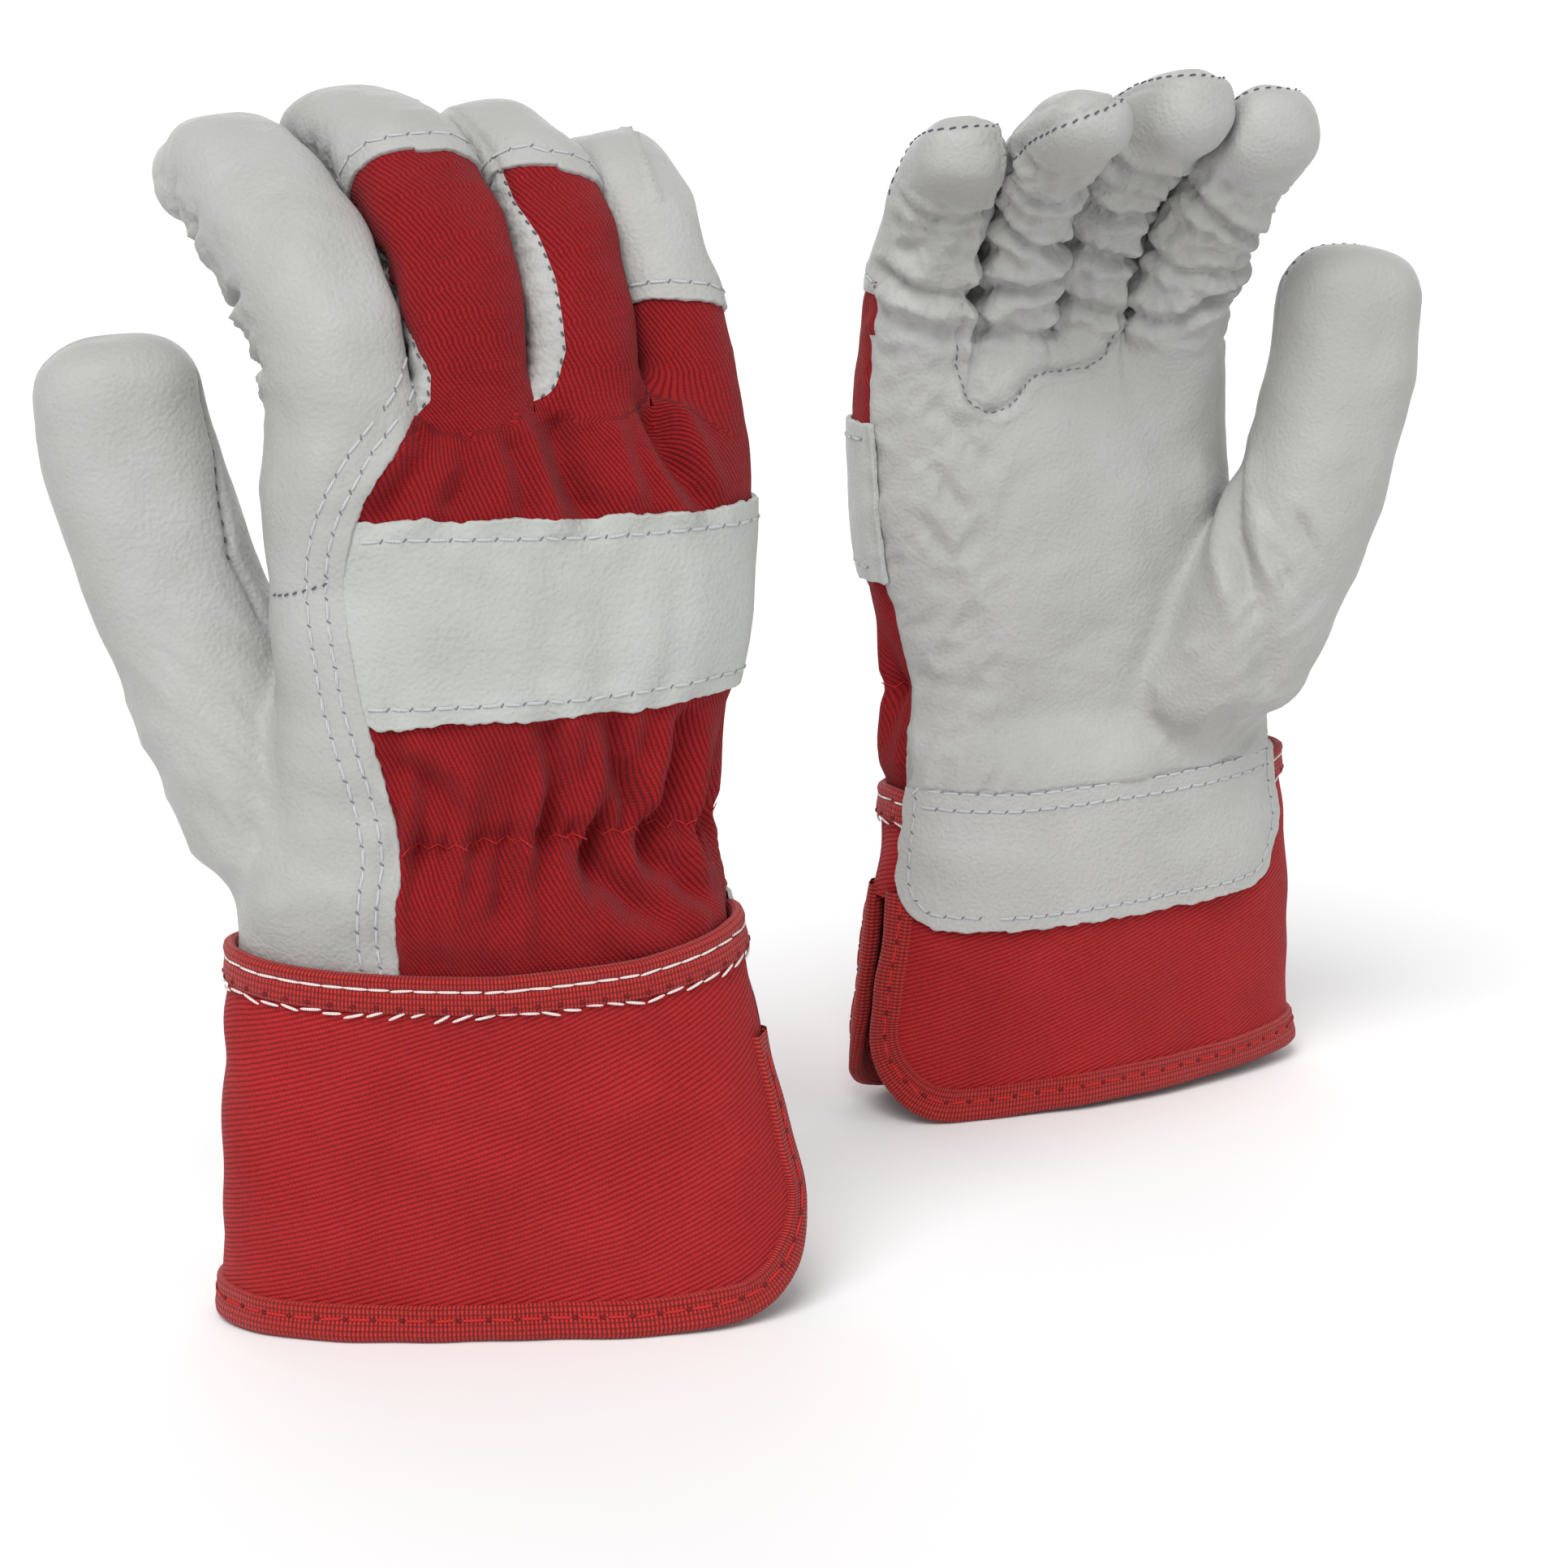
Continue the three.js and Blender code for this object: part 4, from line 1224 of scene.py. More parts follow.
def skin_mesh(glove, finger=None):
    """The whole skin, or one finger's, with its relief, normals and cloth coordinates."""
    field, low, high = glove.field, np.array(SKIN_LOW, float), SKIN_HIGH
    if finger:
        digit = glove.digits[finger]
        field = lambda p: glove.finger_field(p, finger)
        block = 4 * SKIN_STEP
        start = np.maximum(digit.low, (-90, -32, WEB - 12))
        low = low + block * np.floor((start - low) / block)
        high = np.minimum(digit.high, SKIN_HIGH)
    base, tri = surface_net(field, low, high, SKIN_STEP)
    base = fit_to_cuff(glove.name, settle(base, field))
    out = vertex_normals(base, tri)
    part = glove.parts(base)
    names = ["hand", *glove.digits]
    labels = np.argmin([part[k] for k in names], axis=0)
    d, worn = relief(glove, base, part)
    normal = vertex_normals(base + out * d[:, None], tri)
    _, x = around_hand(base)
    uv = np.stack([x, base[:, 2]], 1)
    for name in FINGERS:
        digit = glove.digits[name]
        me = (labels == names.index(name)) & (base[:, 2] > 160)
        f = Finger(name, digit, base[me])
        web = digit.length[np.argmin(np.abs(digit.centre[:, 2] - WEB))]
        share = smooth(base[me, 2], 168, 188)
        own = np.stack([f.x + hand_u(glove.name, name) - 7, WEB + f.s - web], 1)
        uv[me] = lerp(uv[me].T, own.T, share).T
    cols = {"base": base, "out": out, "relief": d, "normal": normal, "uv": uv, "worn": worn,
            "label": labels.astype(float), "tag": np.zeros(len(base))}
    return Mesh(tri, cols)


def share_out(glove, skin):
    """The skin as the hand's part and each digit's own part."""
    part = glove.parts(skin["base"])
    rest = np.minimum.reduce([part[k] for k in ("hand", *FINGERS)])
    ahead = (skin["base"] - THUMB_START) @ np.array(THUMB_WAY)
    thumb_side = np.minimum(rest - part["thumb"], ahead)
    parts = {"thumb": skin.split(thumb_side)}
    others = skin.split(-thumb_side)
    parts["hand"] = others.split(WEB - others["base"][:, 2])
    for name in FINGERS:
        own = skin_mesh(glove, name)
        own = own.split(own["base"][:, 2] - WEB)
        part = glove.parts(own["base"])
        parts[name] = own.split(np.minimum.reduce([part[k] for k in FINGERS if k != name])
                                - part[name])
    return parts


def thicken(mesh, distance, full=0.9, over=14.0):
    """Leather lies on the cloth along its raw edge and sinks to its level away from it."""
    mesh.cols["relief"] = mesh["relief"] + full * (1 - smooth(distance, over * 0.25, over))


def leather_rows(seams, mesh, scalar, keys, where=None, pitch=4.3):
    """A row of grey thread with dark slanted marks between its stitches: painted shade in the
    needle punctures.
    """
    attach, label = keys
    lines = mesh.contour(scalar, 0.0, where)
    lines = [line for line in lines if len(line[0]) > 8]
    seams.add((f"{label}_thread", attach, "thread"), sew(lines, pitch, *STITCHES["leather"]))
    # Dark marks between the stitches: painted shade in the needle punctures.
    seams.add((f"{label}_holes", attach, "hole"), sew(lines, pitch, *STITCHES["leather hole"]))


def dark_rows(seams, mesh, scalar, keys, where=None, pitch=3.2, length=1.7):
    """The dark thread of a turned-in seam."""
    attach, label = keys
    lines = mesh.contour(scalar, 0.12, where)
    lines = [line for line in lines if len(line[0]) > 6]
    seams.add((f"{label}_seam", attach, "thread_dark"), sew(lines, pitch, length, *DARK_STITCH))


def skin_piece(node, name, mesh, look, attach, label=None, rough=None):
    """A panel of the skin as one piece that stands for its CAD node."""
    obj = panel(f"{label or node}_panel", name, mesh, MATERIALS[look], rough)
    finish_piece(obj, attach, [node])


def build_palm(name, hand, seams, attach):
    """The palm's leather, its raw edge on the back, and its rows of stitches."""
    palm = hand.split(-red_on_hand(hand["base"])[0], RAW)
    _, radial, _ = red_on_hand(palm["base"])
    u, v, z = palm["base"].T
    # The raw edge is only on the index side. At the little-finger side the seam is turned in.
    at_ulnar, front = u > 20, v < 0
    edge = np.where(front, -radial, 30)
    thicken(palm, np.where(at_ulnar, 30, edge + 14 * smooth(z, 166, 179)))
    palm.cols["tag"] = np.where(at_ulnar, 0, palm["tag"])
    skin_piece(f"{name}_palm_leather", name, palm, "leather", attach,
               f"{name}_palm", 0.12)
    for inset in ROW_INSETS:
        leather_rows(seams, palm, radial + inset, (attach, "palm"), front & ~at_ulnar)
    gunn, beside = around_gunn(palm["base"])
    lines = [line for line in palm.contour(gunn - 0.3, 0.1, beside) if len(line[0]) > 6]
    # Dark marks along the curved seam: painted shade in its needle punctures.
    seams.add(("palm_holes", attach, "hole"), sew(lines, 2.3, *STITCHES["palm seam"]))
    crossing = z - np.interp(u, *np.array(CROSSING).T)
    dark_rows(seams, palm, crossing, (attach, "palm"),
              front & (u > -41) & (radial < -0.8), 2.2, 1.2)


def strap_ends(base):
    """Heights of the knuckle strap's lower and upper edge beside each point."""
    return (STRAP["bottom"] + 1.5 * smooth(base[:, 0], 10, 48),
            STRAP["top"] - 1.0 * smooth(base[:, 0], -20, 20))


def ragged(base, seed):
    return 0.13 * waves(base * [1, 1, 0], 1.6, seed) + 0.22 * waves(base * [1, 1, 0], 8, seed + 1)


def build_strap(name, hand, seams, attach):
    strap = hand.split(red_on_hand(hand["base"])[1] + 2.5, RAW)
    strap = strap.split(red_on_hand(strap["base"])[2] + 1.2, RAW)
    base = strap["base"]
    strap = strap.split(base[:, 2] - (strap_ends(base)[0] - ragged(base, 31)), RAW)
    base = strap["base"]
    strap = strap.split(strap_ends(base)[1] + ragged(base, 33) - base[:, 2], RAW)
    base, (_, radial, _) = strap["base"], red_on_hand(strap["base"])
    # The strap lies flatter than the cloth, and its end is tucked under the palm's raw edge.
    flat = np.maximum(strap["relief"] * 0.45, -0.4)
    strap.cols["relief"] = flat + 0.35 + 1.0 * smooth(radial, -1, 3)
    skin_piece(f"{name}_knuckle_strap", name, strap, "strap", attach,
               f"{name}_strap", 0.1)
    bottom, top = strap_ends(base)
    for row in (base[:, 2] - bottom - 3.0, top - 3.2 - base[:, 2]):
        leather_rows(seams, strap, row, (attach, "strap"), radial > 0.8)


def build_hand(glove, hand, seams):
    name = glove.name
    attach = on_hand(name)
    hand = hand.split(hand["base"][:, 2] - HAND_FOOT)
    _, radial, ulnar = red_on_hand(hand["base"])
    back = hand.split(np.minimum(radial + 5, ulnar))
    red, radial, _ = red_on_hand(back["base"])
    back.cols["relief"] = back["relief"] - 0.5 * smooth(-radial, 0.2, 1.5)
    skin_piece(f"{name}_back_drill", name, back, "drill", attach, f"{name}_back")
    build_palm(name, hand, seams, attach)
    build_strap(name, hand, seams, attach)
    # The zigzag that holds the elastic.
    row = back.contour(back["base"][:, 2] - ELASTIC_Z, 0.1, red > 0.5)
    for side in ("left", "right"):
        seams.add(("elastic_zigzag", attach, "thread_red"),
                  sew(row, 4.6, *STITCHES["zigzag " + side]))


# How deep under the skin the lining and the elastic lie, and what heights they cover.
LINING_DEPTH, LINING_HEIGHTS = 1.9, (80, 168)
ELASTIC_DEPTH, ELASTIC_HALF = 1.6, 4.5


def turned_in(mesh, depth, label, name, look, node, attach):
    """A thinner layer just inside a part of the skin, facing inward."""
    points = mesh["base"] + mesh["out"] * (mesh["relief"] - depth)[:, None]
    obj = build(label, name, points, mesh.tri[:, ::-1], -mesh["normal"], MATERIALS[look],
                mesh["uv"], mesh["worn"])
    finish_piece(obj, attach, [node])


def build_inside(glove, hand):
    name, attach = glove.name, on_hand(glove.name)
    red, _, _ = red_on_hand(hand["base"])
    lining = hand.split(-red - 3.0)
    lining = lining.split(LINING_HEIGHTS[1] - lining["base"][:, 2])
    lining = lining.split(lining["base"][:, 2] - LINING_HEIGHTS[0])
    turned_in(lining, LINING_DEPTH, f"{name}_lining_panel", name, "lining", f"{name}_palm_lining",
              attach)
    band = hand.split(red - 3.0)
    band = band.split(ELASTIC_HALF - np.abs(band["base"][:, 2] - ELASTIC_Z))
    turned_in(band, ELASTIC_DEPTH, f"{name}_elastic_band", name, "elastic", f"{name}_wrist_elastic",
              attach)


def build_finger(glove, name, mesh, seams):
    digit, attach = glove.digits[name], on_digit(glove.name, name)
    node = f"{glove.name}_{name}"

    def piece(part, at, look="leather", rough=None):
        skin_piece(f"{node}_{part}", glove.name, at, look, attach, None, rough)

    f = Finger(name, digit, mesh["base"])
    front, rear = mesh.split(f.front), mesh.split(-f.front)
    piece("front", front)
    f = Finger(name, digit, front["base"])
    shown = (f.share > 0.72) & ((glove.name == "far") | (f.a > 0))
    dark_rows(seams, front, f.front - 1.0, (attach, name), shown, 2.6, 1.5)
    f = Finger(name, digit, rear["base"])
    if name == "index":
        piece("back", rear)
        edge = (INDEX_SEAM - f.angle) * 0.22
        use = (f.share > 0.3) & (f.share < 0.7) & (f.angle > 30)
        dark_rows(seams, rear, edge - 0.5, (attach, name), use, 3.0, 1.4)
        _, radial, _ = red_on_hand(rear["base"])
        low = (rear["base"][:, 1] < 0) & (rear["base"][:, 2] < 191)
        for inset in ROW_INSETS:
            leather_rows(seams, rear, radial + inset, (attach, name), low)
        return
    cap, body = rear.split(f.cap, RAW), rear.split(-f.cap + 3.0)
    f = Finger(name, digit, cap["base"])
    thicken(cap, f.cap + 12 * smooth(f.front, -4, -0.5), 0.95, 12)
    piece("cap", cap, rough=0.1)
    leather_rows(seams, cap, f.cap - 2.6, (attach, name), f.front < -0.6)
    f = Finger(name, digit, body["base"])
    side = body.split(-f.red)
    piece("back", body.split(f.red), "drill")
    piece("fourchette", side)
    f = Finger(name, digit, side["base"])
    shown = (f.cap < -1) & (f.b < 0) & ((f.a > 0) | (f.share < 0.4) | (name != "middle"))
    dark_rows(seams, side, -f.red - 0.3, (attach, name), shown, 2.6, 1.1)


def build_thumb(glove, mesh, seams):
    name, digit = glove.name, glove.digits["thumb"]
    attach = on_digit(name, "thumb")
    f = Finger("thumb", digit, mesh["base"])
    front = mesh.split(f.front)
    for part, half in (("front", front), ("back", mesh.split(-f.front))):
        skin_piece(f"{name}_thumb_{part}", name, half, "leather", attach)
    if name == "near":
        use = (f.s > 50) & (f.s < 104) & (f.angle > 5) & (f.angle < 110)
        dark_rows(seams, mesh, f.angle - thumb_seam(f.s) + 2, (attach, "thumb"), use, 3.4, 1.3)
    else:
        f = Finger("thumb", digit, front["base"])
        dark_rows(seams, front, f.front - 0.8, (attach, "thumb"), f.share > 0.92, 2.8, 1.3)


# ---- cuffs ----

CUFF_TOP, CUFF_CORNER, SLIT_TOP, CUFF_WALL = 70.0, 24.0, 50.0, 1.4
# The upper edge of the wrist tape, and the pitch of the white stitches on it.
WRIST_EDGE, WRIST_PITCH = CUFF_TOP + 4.4, 4.4
# Each cuff's oval at the hem and at the wrist: centre across, half width, half depth,
# and turn in degrees.
CUFFS = {
    "near": [(5.4, 60.5, 22, -16), (0, 50, 21, -10)],
    "far": [(-3.4, 60.4, 20, 4), (-4.4, 51.4, 21, 3)],
}
# How far the wrist seam rises above its plane round the glove: angle, rise.
WRIST_RISE = {
    "near": [(-180, 0), (-100, 3), (-75, 3), (-30, 0.5), (0, -1), (30, 0.5), (70, 5), (95, 6),
             (140, 2), (180, 0)],
    "far": [(-180, 1), (-140, 3), (-115, 4.5), (-90, 4), (0, 0), (90, 2), (150, 0), (180, 1)],
}


# How far the hem rises off the floor round the glove: angle, rise.
HEM_RISE = {
    "near": [(-180, 0), (-90, 0.6), (-40, 0), (20, 0), (45, 1.4), (70, 4), (96, 6.5), (130, 2),
             (180, 0)],
    "far": [(-180, 1.5), (-90, 4.5), (0, 2), (80, 0.3), (150, 0), (180, 1.5)],
}


class Cuff:
    """A glove's cuff as a strip of cloth that runs round from one edge of the slit to the other."""

    def __init__(self, name):
        self.name, self.rows = name, np.array(CUFFS[name], float)
        self.angles = np.arange(96, 456.5, 0.5)
        ring = self.oval(np.full(len(self.angles), 20.0), self.angles, 0)
        self.marks = np.r_[0, np.cumsum(np.linalg.norm(np.diff(ring, axis=0), axis=1))]
        self.length = np.interp(446, self.angles, self.marks)
        self.full = self.marks[-1]

    def oval(self, z, angle, depth):
        z, angle, depth = np.broadcast_arrays(np.asarray(z, float), np.asarray(angle, float), depth)
        across, w, d, turn = [lerp(self.rows[0, k], self.rows[1, k], z / CUFF_TOP)
                              for k in range(4)]
        a, t = np.radians(angle), np.radians(turn)
        soft = lambda x: np.sign(x) * np.abs(x) ** 0.85
        x, y = (w - depth) * soft(np.sin(a)), -(d - depth) * soft(np.cos(a))
        wrapped = (angle + 180) % 360 - 180
        rise = np.interp(wrapped, *np.array(WRIST_RISE[self.name]).T) * smooth(z, 25, 70)
        rise = rise + np.interp(wrapped, *np.array(HEM_RISE[self.name]).T) * (1 - smooth(z, 5, 60))
        return np.stack([across + x * np.cos(t) - y * np.sin(t), x * np.sin(t) + y * np.cos(t),
                         z + rise], -1)

    def point(self, x, z, depth=0.0):
        """A point x millimetres along the strip at a height, depth millimetres into the cuff."""
        angle = np.interp(x, self.marks, self.angles)
        p = self.oval(z, angle, depth)
        bulge = 0.55 * waves(p * [1, 1, 0.7], 26, 51) + 0.25 * waves(p, 11, 52)
        fade = 1 - smooth(np.asarray(z, float), 58, 70)
        a = np.radians(angle)
        p[..., 0] += bulge * fade * np.sin(a)
        p[..., 1] -= bulge * fade * np.cos(a)
        return p

    def normal(self, x, z, eps=0.7):
        along = self.point(x + eps, z) - self.point(x - eps, z)
        up = self.point(x, z + eps) - self.point(x, z - eps)
        n = np.cross(along, up)
        return n / np.linalg.norm(n, axis=-1, keepdims=True)

    def hem(self):
        """Rows of x, height and the way inward along the edge, down one side and up the other."""
        r = CUFF_CORNER
        turn = np.radians(np.arange(0, 91, 4))
        corner = np.stack([r - r * np.cos(turn), r - r * np.sin(turn),
                           np.cos(turn), np.sin(turn)], 1)
        left = np.vstack([[(0, z, 1, 0) for z in np.arange(SLIT_TOP + 2, r, -1.5)], corner])
        right = left[::-1] * [-1, 1, -1, 1] + [self.length, 0, 0, 0]
        bottom = [(x, 0, 0, 1) for x in np.arange(r + 1.5, self.length - r - 1, 1.5)]
        return np.vstack([left, bottom, right])


def grid_tri(rows, columns, flip=False):
    i, j = np.meshgrid(np.arange(rows - 1), np.arange(columns - 1), indexing="ij")
    a = (i * columns + j).ravel()
    tri = np.concatenate([np.stack([a, a + 1, a + columns + 1], 1),
                          np.stack([a, a + columns + 1, a + columns], 1)])
    return tri[:, ::-1] if flip else tri


def sweep(cuff, path, profile, label, attach, nodes):
    """A tape along a path on the cuff. The profile's points are depth and distance inward."""
    x, z, dx, dz = path.T
    rings = [cuff.point(x + inward * dx, z + inward * dz, depth) for depth, inward in profile]
    rings.append(rings[0])
    points = np.stack(rings, 1).reshape(-1, 3)
    length = np.r_[0, np.cumsum(np.hypot(np.diff(x), np.diff(z)))]
    loop = np.array([*profile, profile[0]])
    span = np.array([0, *np.cumsum(np.linalg.norm(np.diff(loop, axis=0), axis=1))])
    uv = np.stack(np.broadcast_arrays(length[:, None], span[None]), -1).reshape(-1, 2)
    tri = grid_tri(len(path), len(rings), flip=True)
    obj = build(label, cuff.name, points, tri, vertex_normals(points, tri), MATERIALS["tape"], uv)
    finish_piece(obj, attach, nodes)


def build_cloth(cuff, attach):
    """The cuff's cloth, outer and inner face, with the part above the slit that closes the ring."""
    r, name = CUFF_CORNER, cuff.name

    def low(x):
        near = np.minimum(x, cuff.length - x)
        inside = r - np.minimum(near, r)
        return np.where(near < r, r - np.sqrt(np.maximum(r * r - inside**2, 0)), 0) + 1.0

    pieces = []
    for columns, bottom in ((np.arange(1.0, cuff.length - 0.5, 2.0), low),
                            (np.linspace(cuff.length - 1, cuff.full + 1, 9), None)):
        share = np.linspace(0, 1, 40)[:, None]
        start = bottom(columns) if bottom else np.full(len(columns), SLIT_TOP)
        z = lerp(start[None], CUFF_TOP + 2, share)
        x = np.broadcast_to(columns[None], z.shape) % cuff.full
        for depth, flip in ((0.0, False), (CUFF_WALL, True)):
            n = cuff.normal(x, z).reshape(-1, 3)
            flat = np.stack([np.broadcast_to(columns[None], z.shape), z], -1)
            pieces.append((cuff.point(x, z, depth).reshape(-1, 3), grid_tri(*z.shape, flip),
                           n * (-1 if flip else 1), flat.reshape(-1, 2)))
    count, all_tri = 0, []
    for points, tri, _, _ in pieces:
        all_tri.append(tri + count)
        count += len(points)
    points, normals, uv = [np.concatenate([p[k] for p in pieces]) for k in (0, 2, 3)]
    obj = build(f"{name}_cuff_panel", name, points, np.concatenate(all_tri), normals,
                MATERIALS["cuff"], uv)
    finish_piece(obj, attach, [f"{name}_cuff_cloth"])


def cuff_line(cuff, x, z, depth):
    return cuff.point(x, z, depth), cuff.normal(x, z)


def build_cuff(name, seams):
    cuff, attach = Cuff(name), on_cuff(name)
    build_cloth(cuff, attach)
    path = cuff.hem()
    outer = [(-0.2, 7.2), (-0.9, 7.1), (-1.15, 6.6), (-1.1, 5.4), (-0.95, 4.4), (-1.15, 3.4),
             (-1.25, 1.6), (-1.0, 0.3), (-0.3, -0.4)]
    inner = [(CUFF_WALL - depth, inward) for depth, inward in outer[::-1]]
    sweep(cuff, path, outer + inner, f"{name}_hem_binding", attach, [f"{name}_cuff_hem_tape"])
    x, z, dx, dz = path.T
    for depth in (-1.05, CUFF_WALL + 1.05):
        line = cuff_line(cuff, x + 4.4 * dx, z + 4.4 * dz, depth)
        n = line[1] * (1 if depth < 0 else -1)
        seams.add(("hem_thread", attach, "thread_red"), sew([(line[0], n)], 5.6, *STITCHES["hem"]))
        # Dark red marks beside the hem stitches: painted shade in the needle punctures.
        seams.add(("hem_holes", attach, "hole_red"),
                  sew([(line[0], n)], 5.6, *STITCHES["hem hole"]))

    around = np.append(np.arange(0, cuff.full, 1.5), cuff.full)
    ring = np.stack([around, np.full(len(around), WRIST_EDGE), around * 0, around * 0 - 1], 1)
    lip = [(1.6, 2.6), (0.9, 0.5), (0.2, -0.1), (-0.6, 0.0), (-1.35, 0.6), (-1.5, 1.4), (-1.2, 2.3),
           (-0.8, 2.7), (-1.15, 3.2), (-1.25, 5.0), (-1.2, 6.9), (-0.8, 7.4), (0.3, 7.5),
           (1.6, 7.4)]
    sweep(cuff, ring, lip[::-1], f"{name}_wrist_binding", attach, [f"{name}_cuff_top_tape"])
    line = cuff_line(cuff, around, around * 0 + WRIST_EDGE - 2.7, -0.85)
    seams.add(("wrist_thread", attach, "thread_white"),
              sew([line], WRIST_PITCH, *STITCHES["wrist"]))
    wavy = (WRIST_EDGE - 7.7 + 0.35 * np.sin(around * 2 * math.pi / WRIST_PITCH)
            + 0.25 * waves(np.stack([around] * 3, 1), 9, 61))
    line = cuff_line(cuff, around, wavy, -0.55)
    seams.add(("wrist_thread", attach, "thread_white"),
              sew([line], WRIST_PITCH, *STITCHES["wrist wavy"]))
    # A row of dark red marks on the wrist tape: painted shade in the needle punctures.
    line = cuff_line(cuff, around, around * 0 + WRIST_EDGE - 6.3, -1.15)
    seams.add(("wrist_holes", attach, "hole_red"),
              sew([line], WRIST_PITCH, *STITCHES["wrist hole"]))
    build_patch(cuff, attach, seams)


PATCH = {"angles": (104.0, 231.0), "bottom": 46.0, "top": 79.0, "corner": 11.0}


def build_patch(cuff, attach, seams):
    """The leather patch sewn over the cuff and the wrist seam on the palm side."""
    name = cuff.name
    x0, x1 = [np.interp(a, cuff.angles, cuff.marks) for a in PATCH["angles"]]
    columns = np.arange(x0 - 2, x1 + 2, 1.0)
    heights = np.arange(PATCH["bottom"] - 4, PATCH["top"] + 3, 1.0)
    x, z = np.meshgrid(columns, heights)
    normal = cuff.normal(x, z).reshape(-1, 3)
    sink = 3.0 * smooth(z, PATCH["top"] - 3.0, PATCH["top"])
    base = cuff.point(x, z, sink - 2.0).reshape(-1, 3)
    x, z = x.ravel(), z.ravel()
    mesh = Mesh(grid_tri(len(heights), len(columns)), {
        "base": base, "out": normal, "relief": 0.25 * waves(base, 12, 71), "normal": normal,
        # The patch is creased all over, with painted shade in its crease lines.
        "uv": np.stack([x, z], 1), "worn": np.full(len(x), 0.55), "tag": np.zeros(len(x)),
        "flat": np.stack([x, z], 1)})

    def inside(flat):
        """Distance inward from the patch's outline, whose lower corners are round."""
        u, v = flat.T
        middle, half = (x0 + x1) / 2, (x1 - x0) / 2
        sag = PATCH["bottom"] - 2.0 * np.sin((u - x0) / (x1 - x0) * math.pi) * 0.6
        r = PATCH["corner"]
        dx, dz = np.abs(u - middle) - half, sag - v
        corner = np.hypot(np.maximum(dx + r, 0), np.maximum(dz + r, 0)) - r
        side = np.maximum(np.maximum(dx, dz), corner)
        return -np.maximum(side, v - PATCH["top"])

    ragged = 0.2 * waves(np.c_[mesh["flat"], mesh["flat"][:, :1] * 0], 2.5, 72)
    mesh = mesh.split(inside(mesh["flat"]) + ragged, RAW)
    skin_piece(f"{name}_pull_patch", name, mesh, "patch", attach, None, 0.1)
    gap = inside(mesh["flat"])
    leather_rows(seams, mesh, gap - 2.8, (attach, "patch"), None, 4.0)
    between = np.abs(mesh["flat"][:, 0] - (x0 + x1) / 2) < (x1 - x0) / 2 - 3
    leather_rows(seams, mesh, PATCH["top"] - 6.6 - mesh["flat"][:, 1], (attach, "patch"), between,
                 4.0)


# ---- the pair, the camera and the studio ----

def fit_to_cuff(name, base):
    """The skin's foot takes the cuff's section, so that the wrist seam closes on it."""
    cuff = Cuff(name)
    cu, cv, w, h = hand_section(base[:, 2])
    angle = np.degrees(np.arctan2((base[:, 0] - cu) / w, (cv - base[:, 1]) / h))
    z = base[:, 2] - np.interp(angle, *np.array(WRIST_RISE[name]).T)
    low, high = PATCH["angles"]
    palm = smooth(angle % 360, low - 2, low + 4) * (1 - smooth(angle % 360, high - 4, high + 2))
    # On the palm side the leather runs out over the wrist seam and covers the patch's upper edge.
    inward = 2.9 - 1.5 * smooth(z, 66, 73) - 3.7 * palm * smooth(z, 73, 77)
    target = cuff.oval(base[:, 2], angle, inward)
    share = 1 - smooth(z, 73 + 6 * palm, 92 + 2 * palm)
    moved = base.copy()
    moved[:, :2] = lerp(base[:, :2].T, target[:, :2].T, share).T
    return moved


def build_glove(name):
    glove, seams = Glove(name), Seams()
    skin = skin_mesh(glove)
    parts = share_out(glove, skin)
    build_hand(glove, parts["hand"], seams)
    build_inside(glove, parts["hand"])
    for finger in FINGERS:
        build_finger(glove, finger, parts[finger], seams)
    build_thumb(glove, parts["thumb"], seams)
    build_cuff(name, seams)
    seams.objects(name)


# The lights: the way they shine, strength, and angle in degrees. The sky's strength.
LIGHTS = {"key": ((0.3, 0.92, -1.1), 2.55, 38), "fill": ((-0.7, 0.7, -0.4), 0.5, 60)}
SKY = 0.46
# The camera: focal length, sensor width, degrees down, and millimetres from the near glove's foot.
LENS, SENSOR, PITCH_DOWN, CAMERA_AT = 88.36, 36, 12.9, (58, -727.2, 273)
STAGE_SIZE, WALL_TOP, FLOOR_Z = 6.0, 5, -0.0006


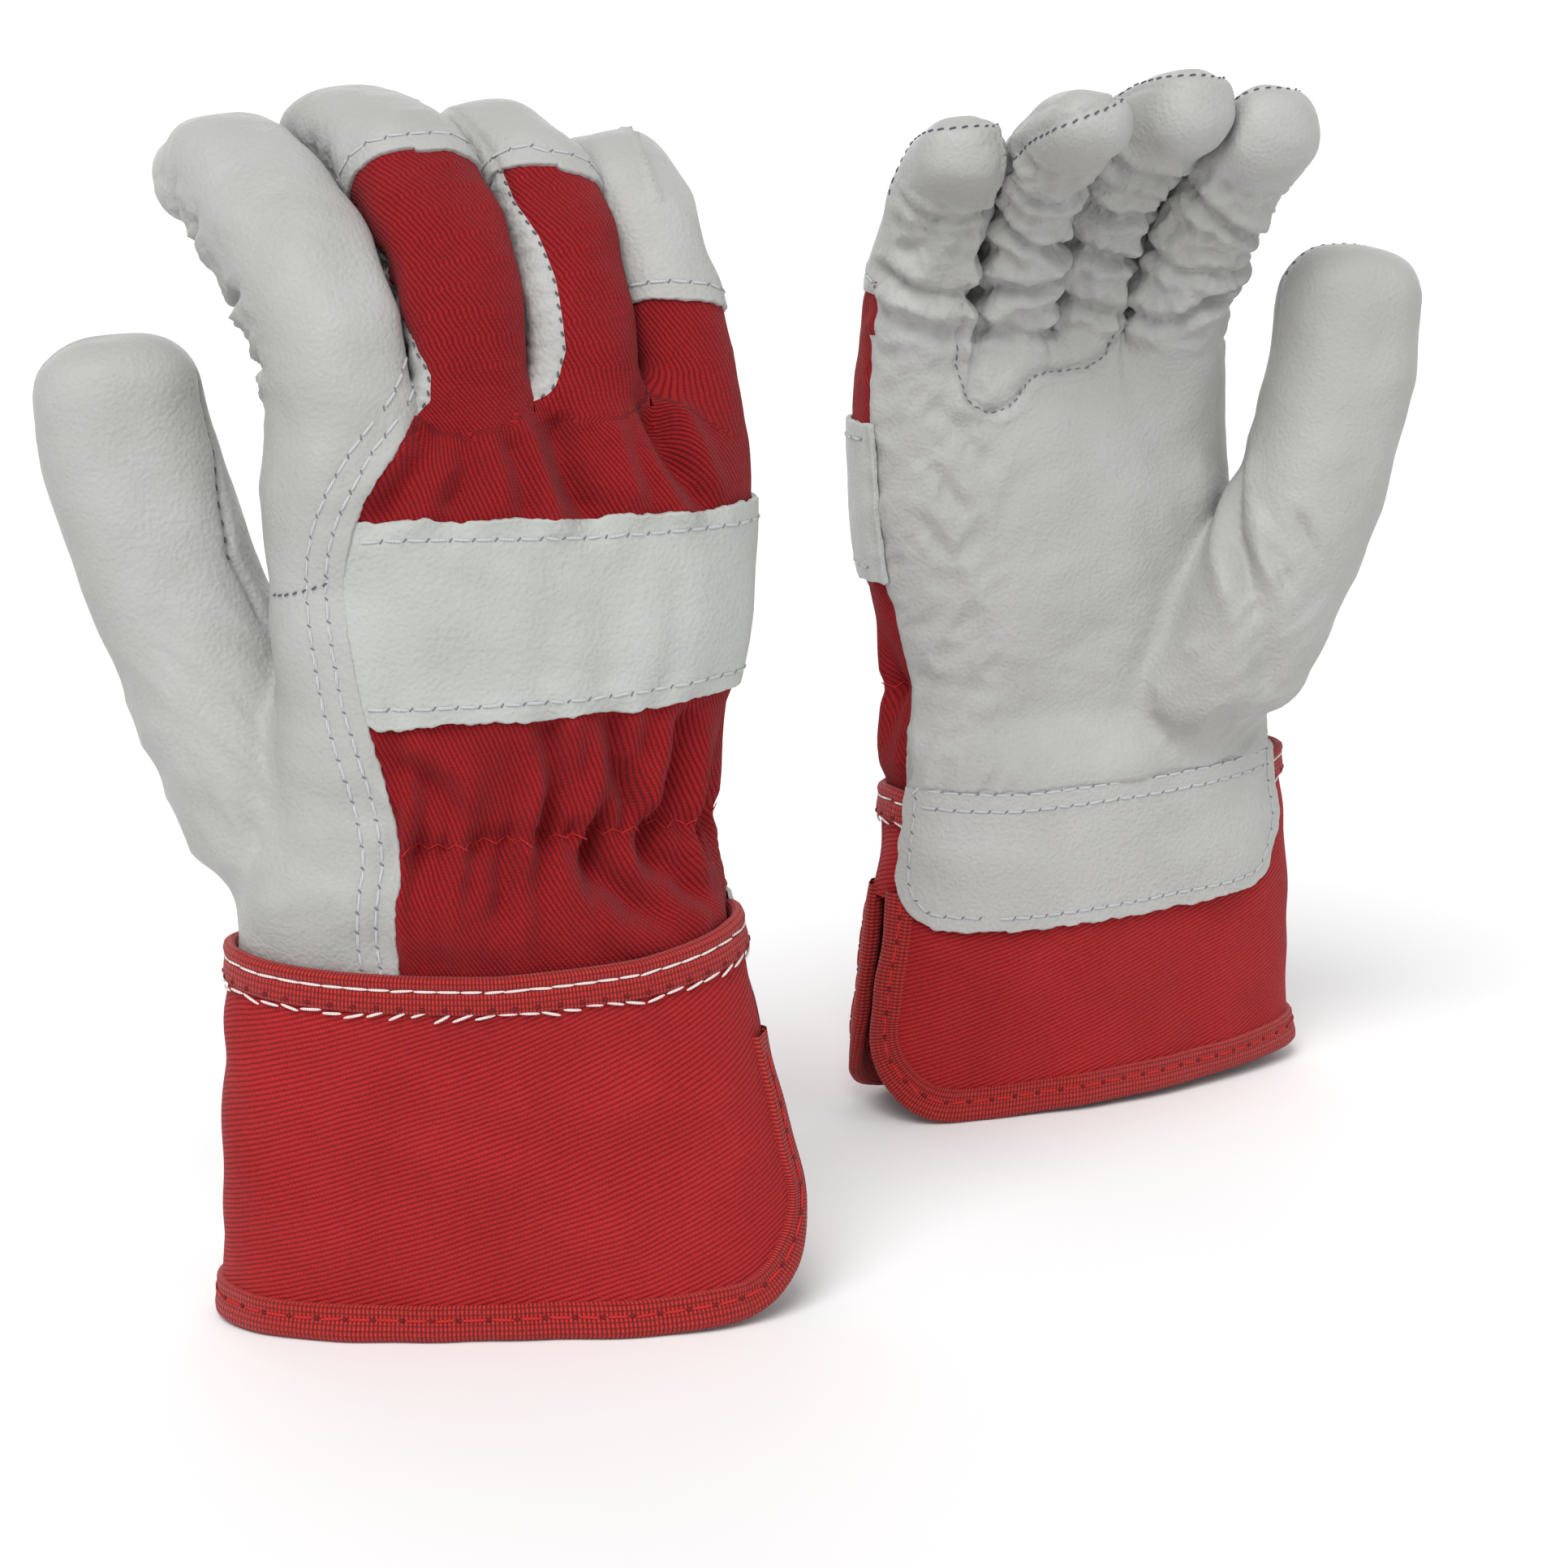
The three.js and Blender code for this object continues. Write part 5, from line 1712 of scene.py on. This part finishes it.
def stage_plane(label, corners, material):
    mesh = bpy.data.meshes.new(label)
    mesh.from_pydata(corners, [], [(0, 1, 2, 3)])
    mesh.materials.append(material)
    plane = bpy.data.objects.new(label, mesh)
    bpy.context.scene.collection.objects.link(plane)
    return plane


def studio():
    scene = bpy.context.scene
    size = STAGE_SIZE
    paper = Nodes("pale_floor")
    rest = paper.add("ShaderNodeTexCoord").outputs["Object"]
    tone = paper.mix(paper.noise(rest, 3, 2), (0.85, 0.85, 0.85, 1), (0.87, 0.87, 0.87, 1))
    corners = [(-size, -size, 0), (size, -size, 0), (size, size, 0), (-size, size, 0)]
    stage_plane("floor", corners, paper.finish(tone, 0.9)).location.z = FLOOR_Z
    glow = Nodes("pale_backdrop")
    glow.finish((0.8, 0.8, 0.8, 1), 1.0, Emission_Color=(1, 1, 1, 1), Emission_Strength=1.0)
    corners = [(-size, size, -1), (size, size, -1), (size, size, WALL_TOP), (-size, size, WALL_TOP)]
    stage_plane("backdrop", corners, glow.material)
    sky = bpy.data.worlds.new("studio")
    sky.use_nodes = True
    sky.node_tree.nodes["Background"].inputs[0].default_value = (1, 1, 1, 1)
    sky.node_tree.nodes["Background"].inputs[1].default_value = SKY
    scene.world = sky
    for label, (toward, strength, spread) in LIGHTS.items():
        light = bpy.data.lights.new(label, "SUN")
        light.energy, light.angle = strength, math.radians(spread)
        lamp = bpy.data.objects.new(label, light)
        lamp.rotation_euler = Vector(toward).to_track_quat("-Z", "Y").to_euler()
        scene.collection.objects.link(lamp)
    scene.view_settings.view_transform = "Standard"

    camera = bpy.data.objects.new("camera", bpy.data.cameras.new("camera"))
    camera.data.lens, camera.data.sensor_width = LENS, SENSOR
    x, y = PLACES["near"][0]
    camera.location = (x + CAMERA_AT[0] * MM, y + CAMERA_AT[1] * MM, CAMERA_AT[2] * MM)
    camera.rotation_euler = (math.radians(90 - PITCH_DOWN), 0, 0)
    scene.collection.objects.link(camera)
    scene.camera = camera


for glove_name in ("near", "far"):
    build_glove(glove_name)
studio()
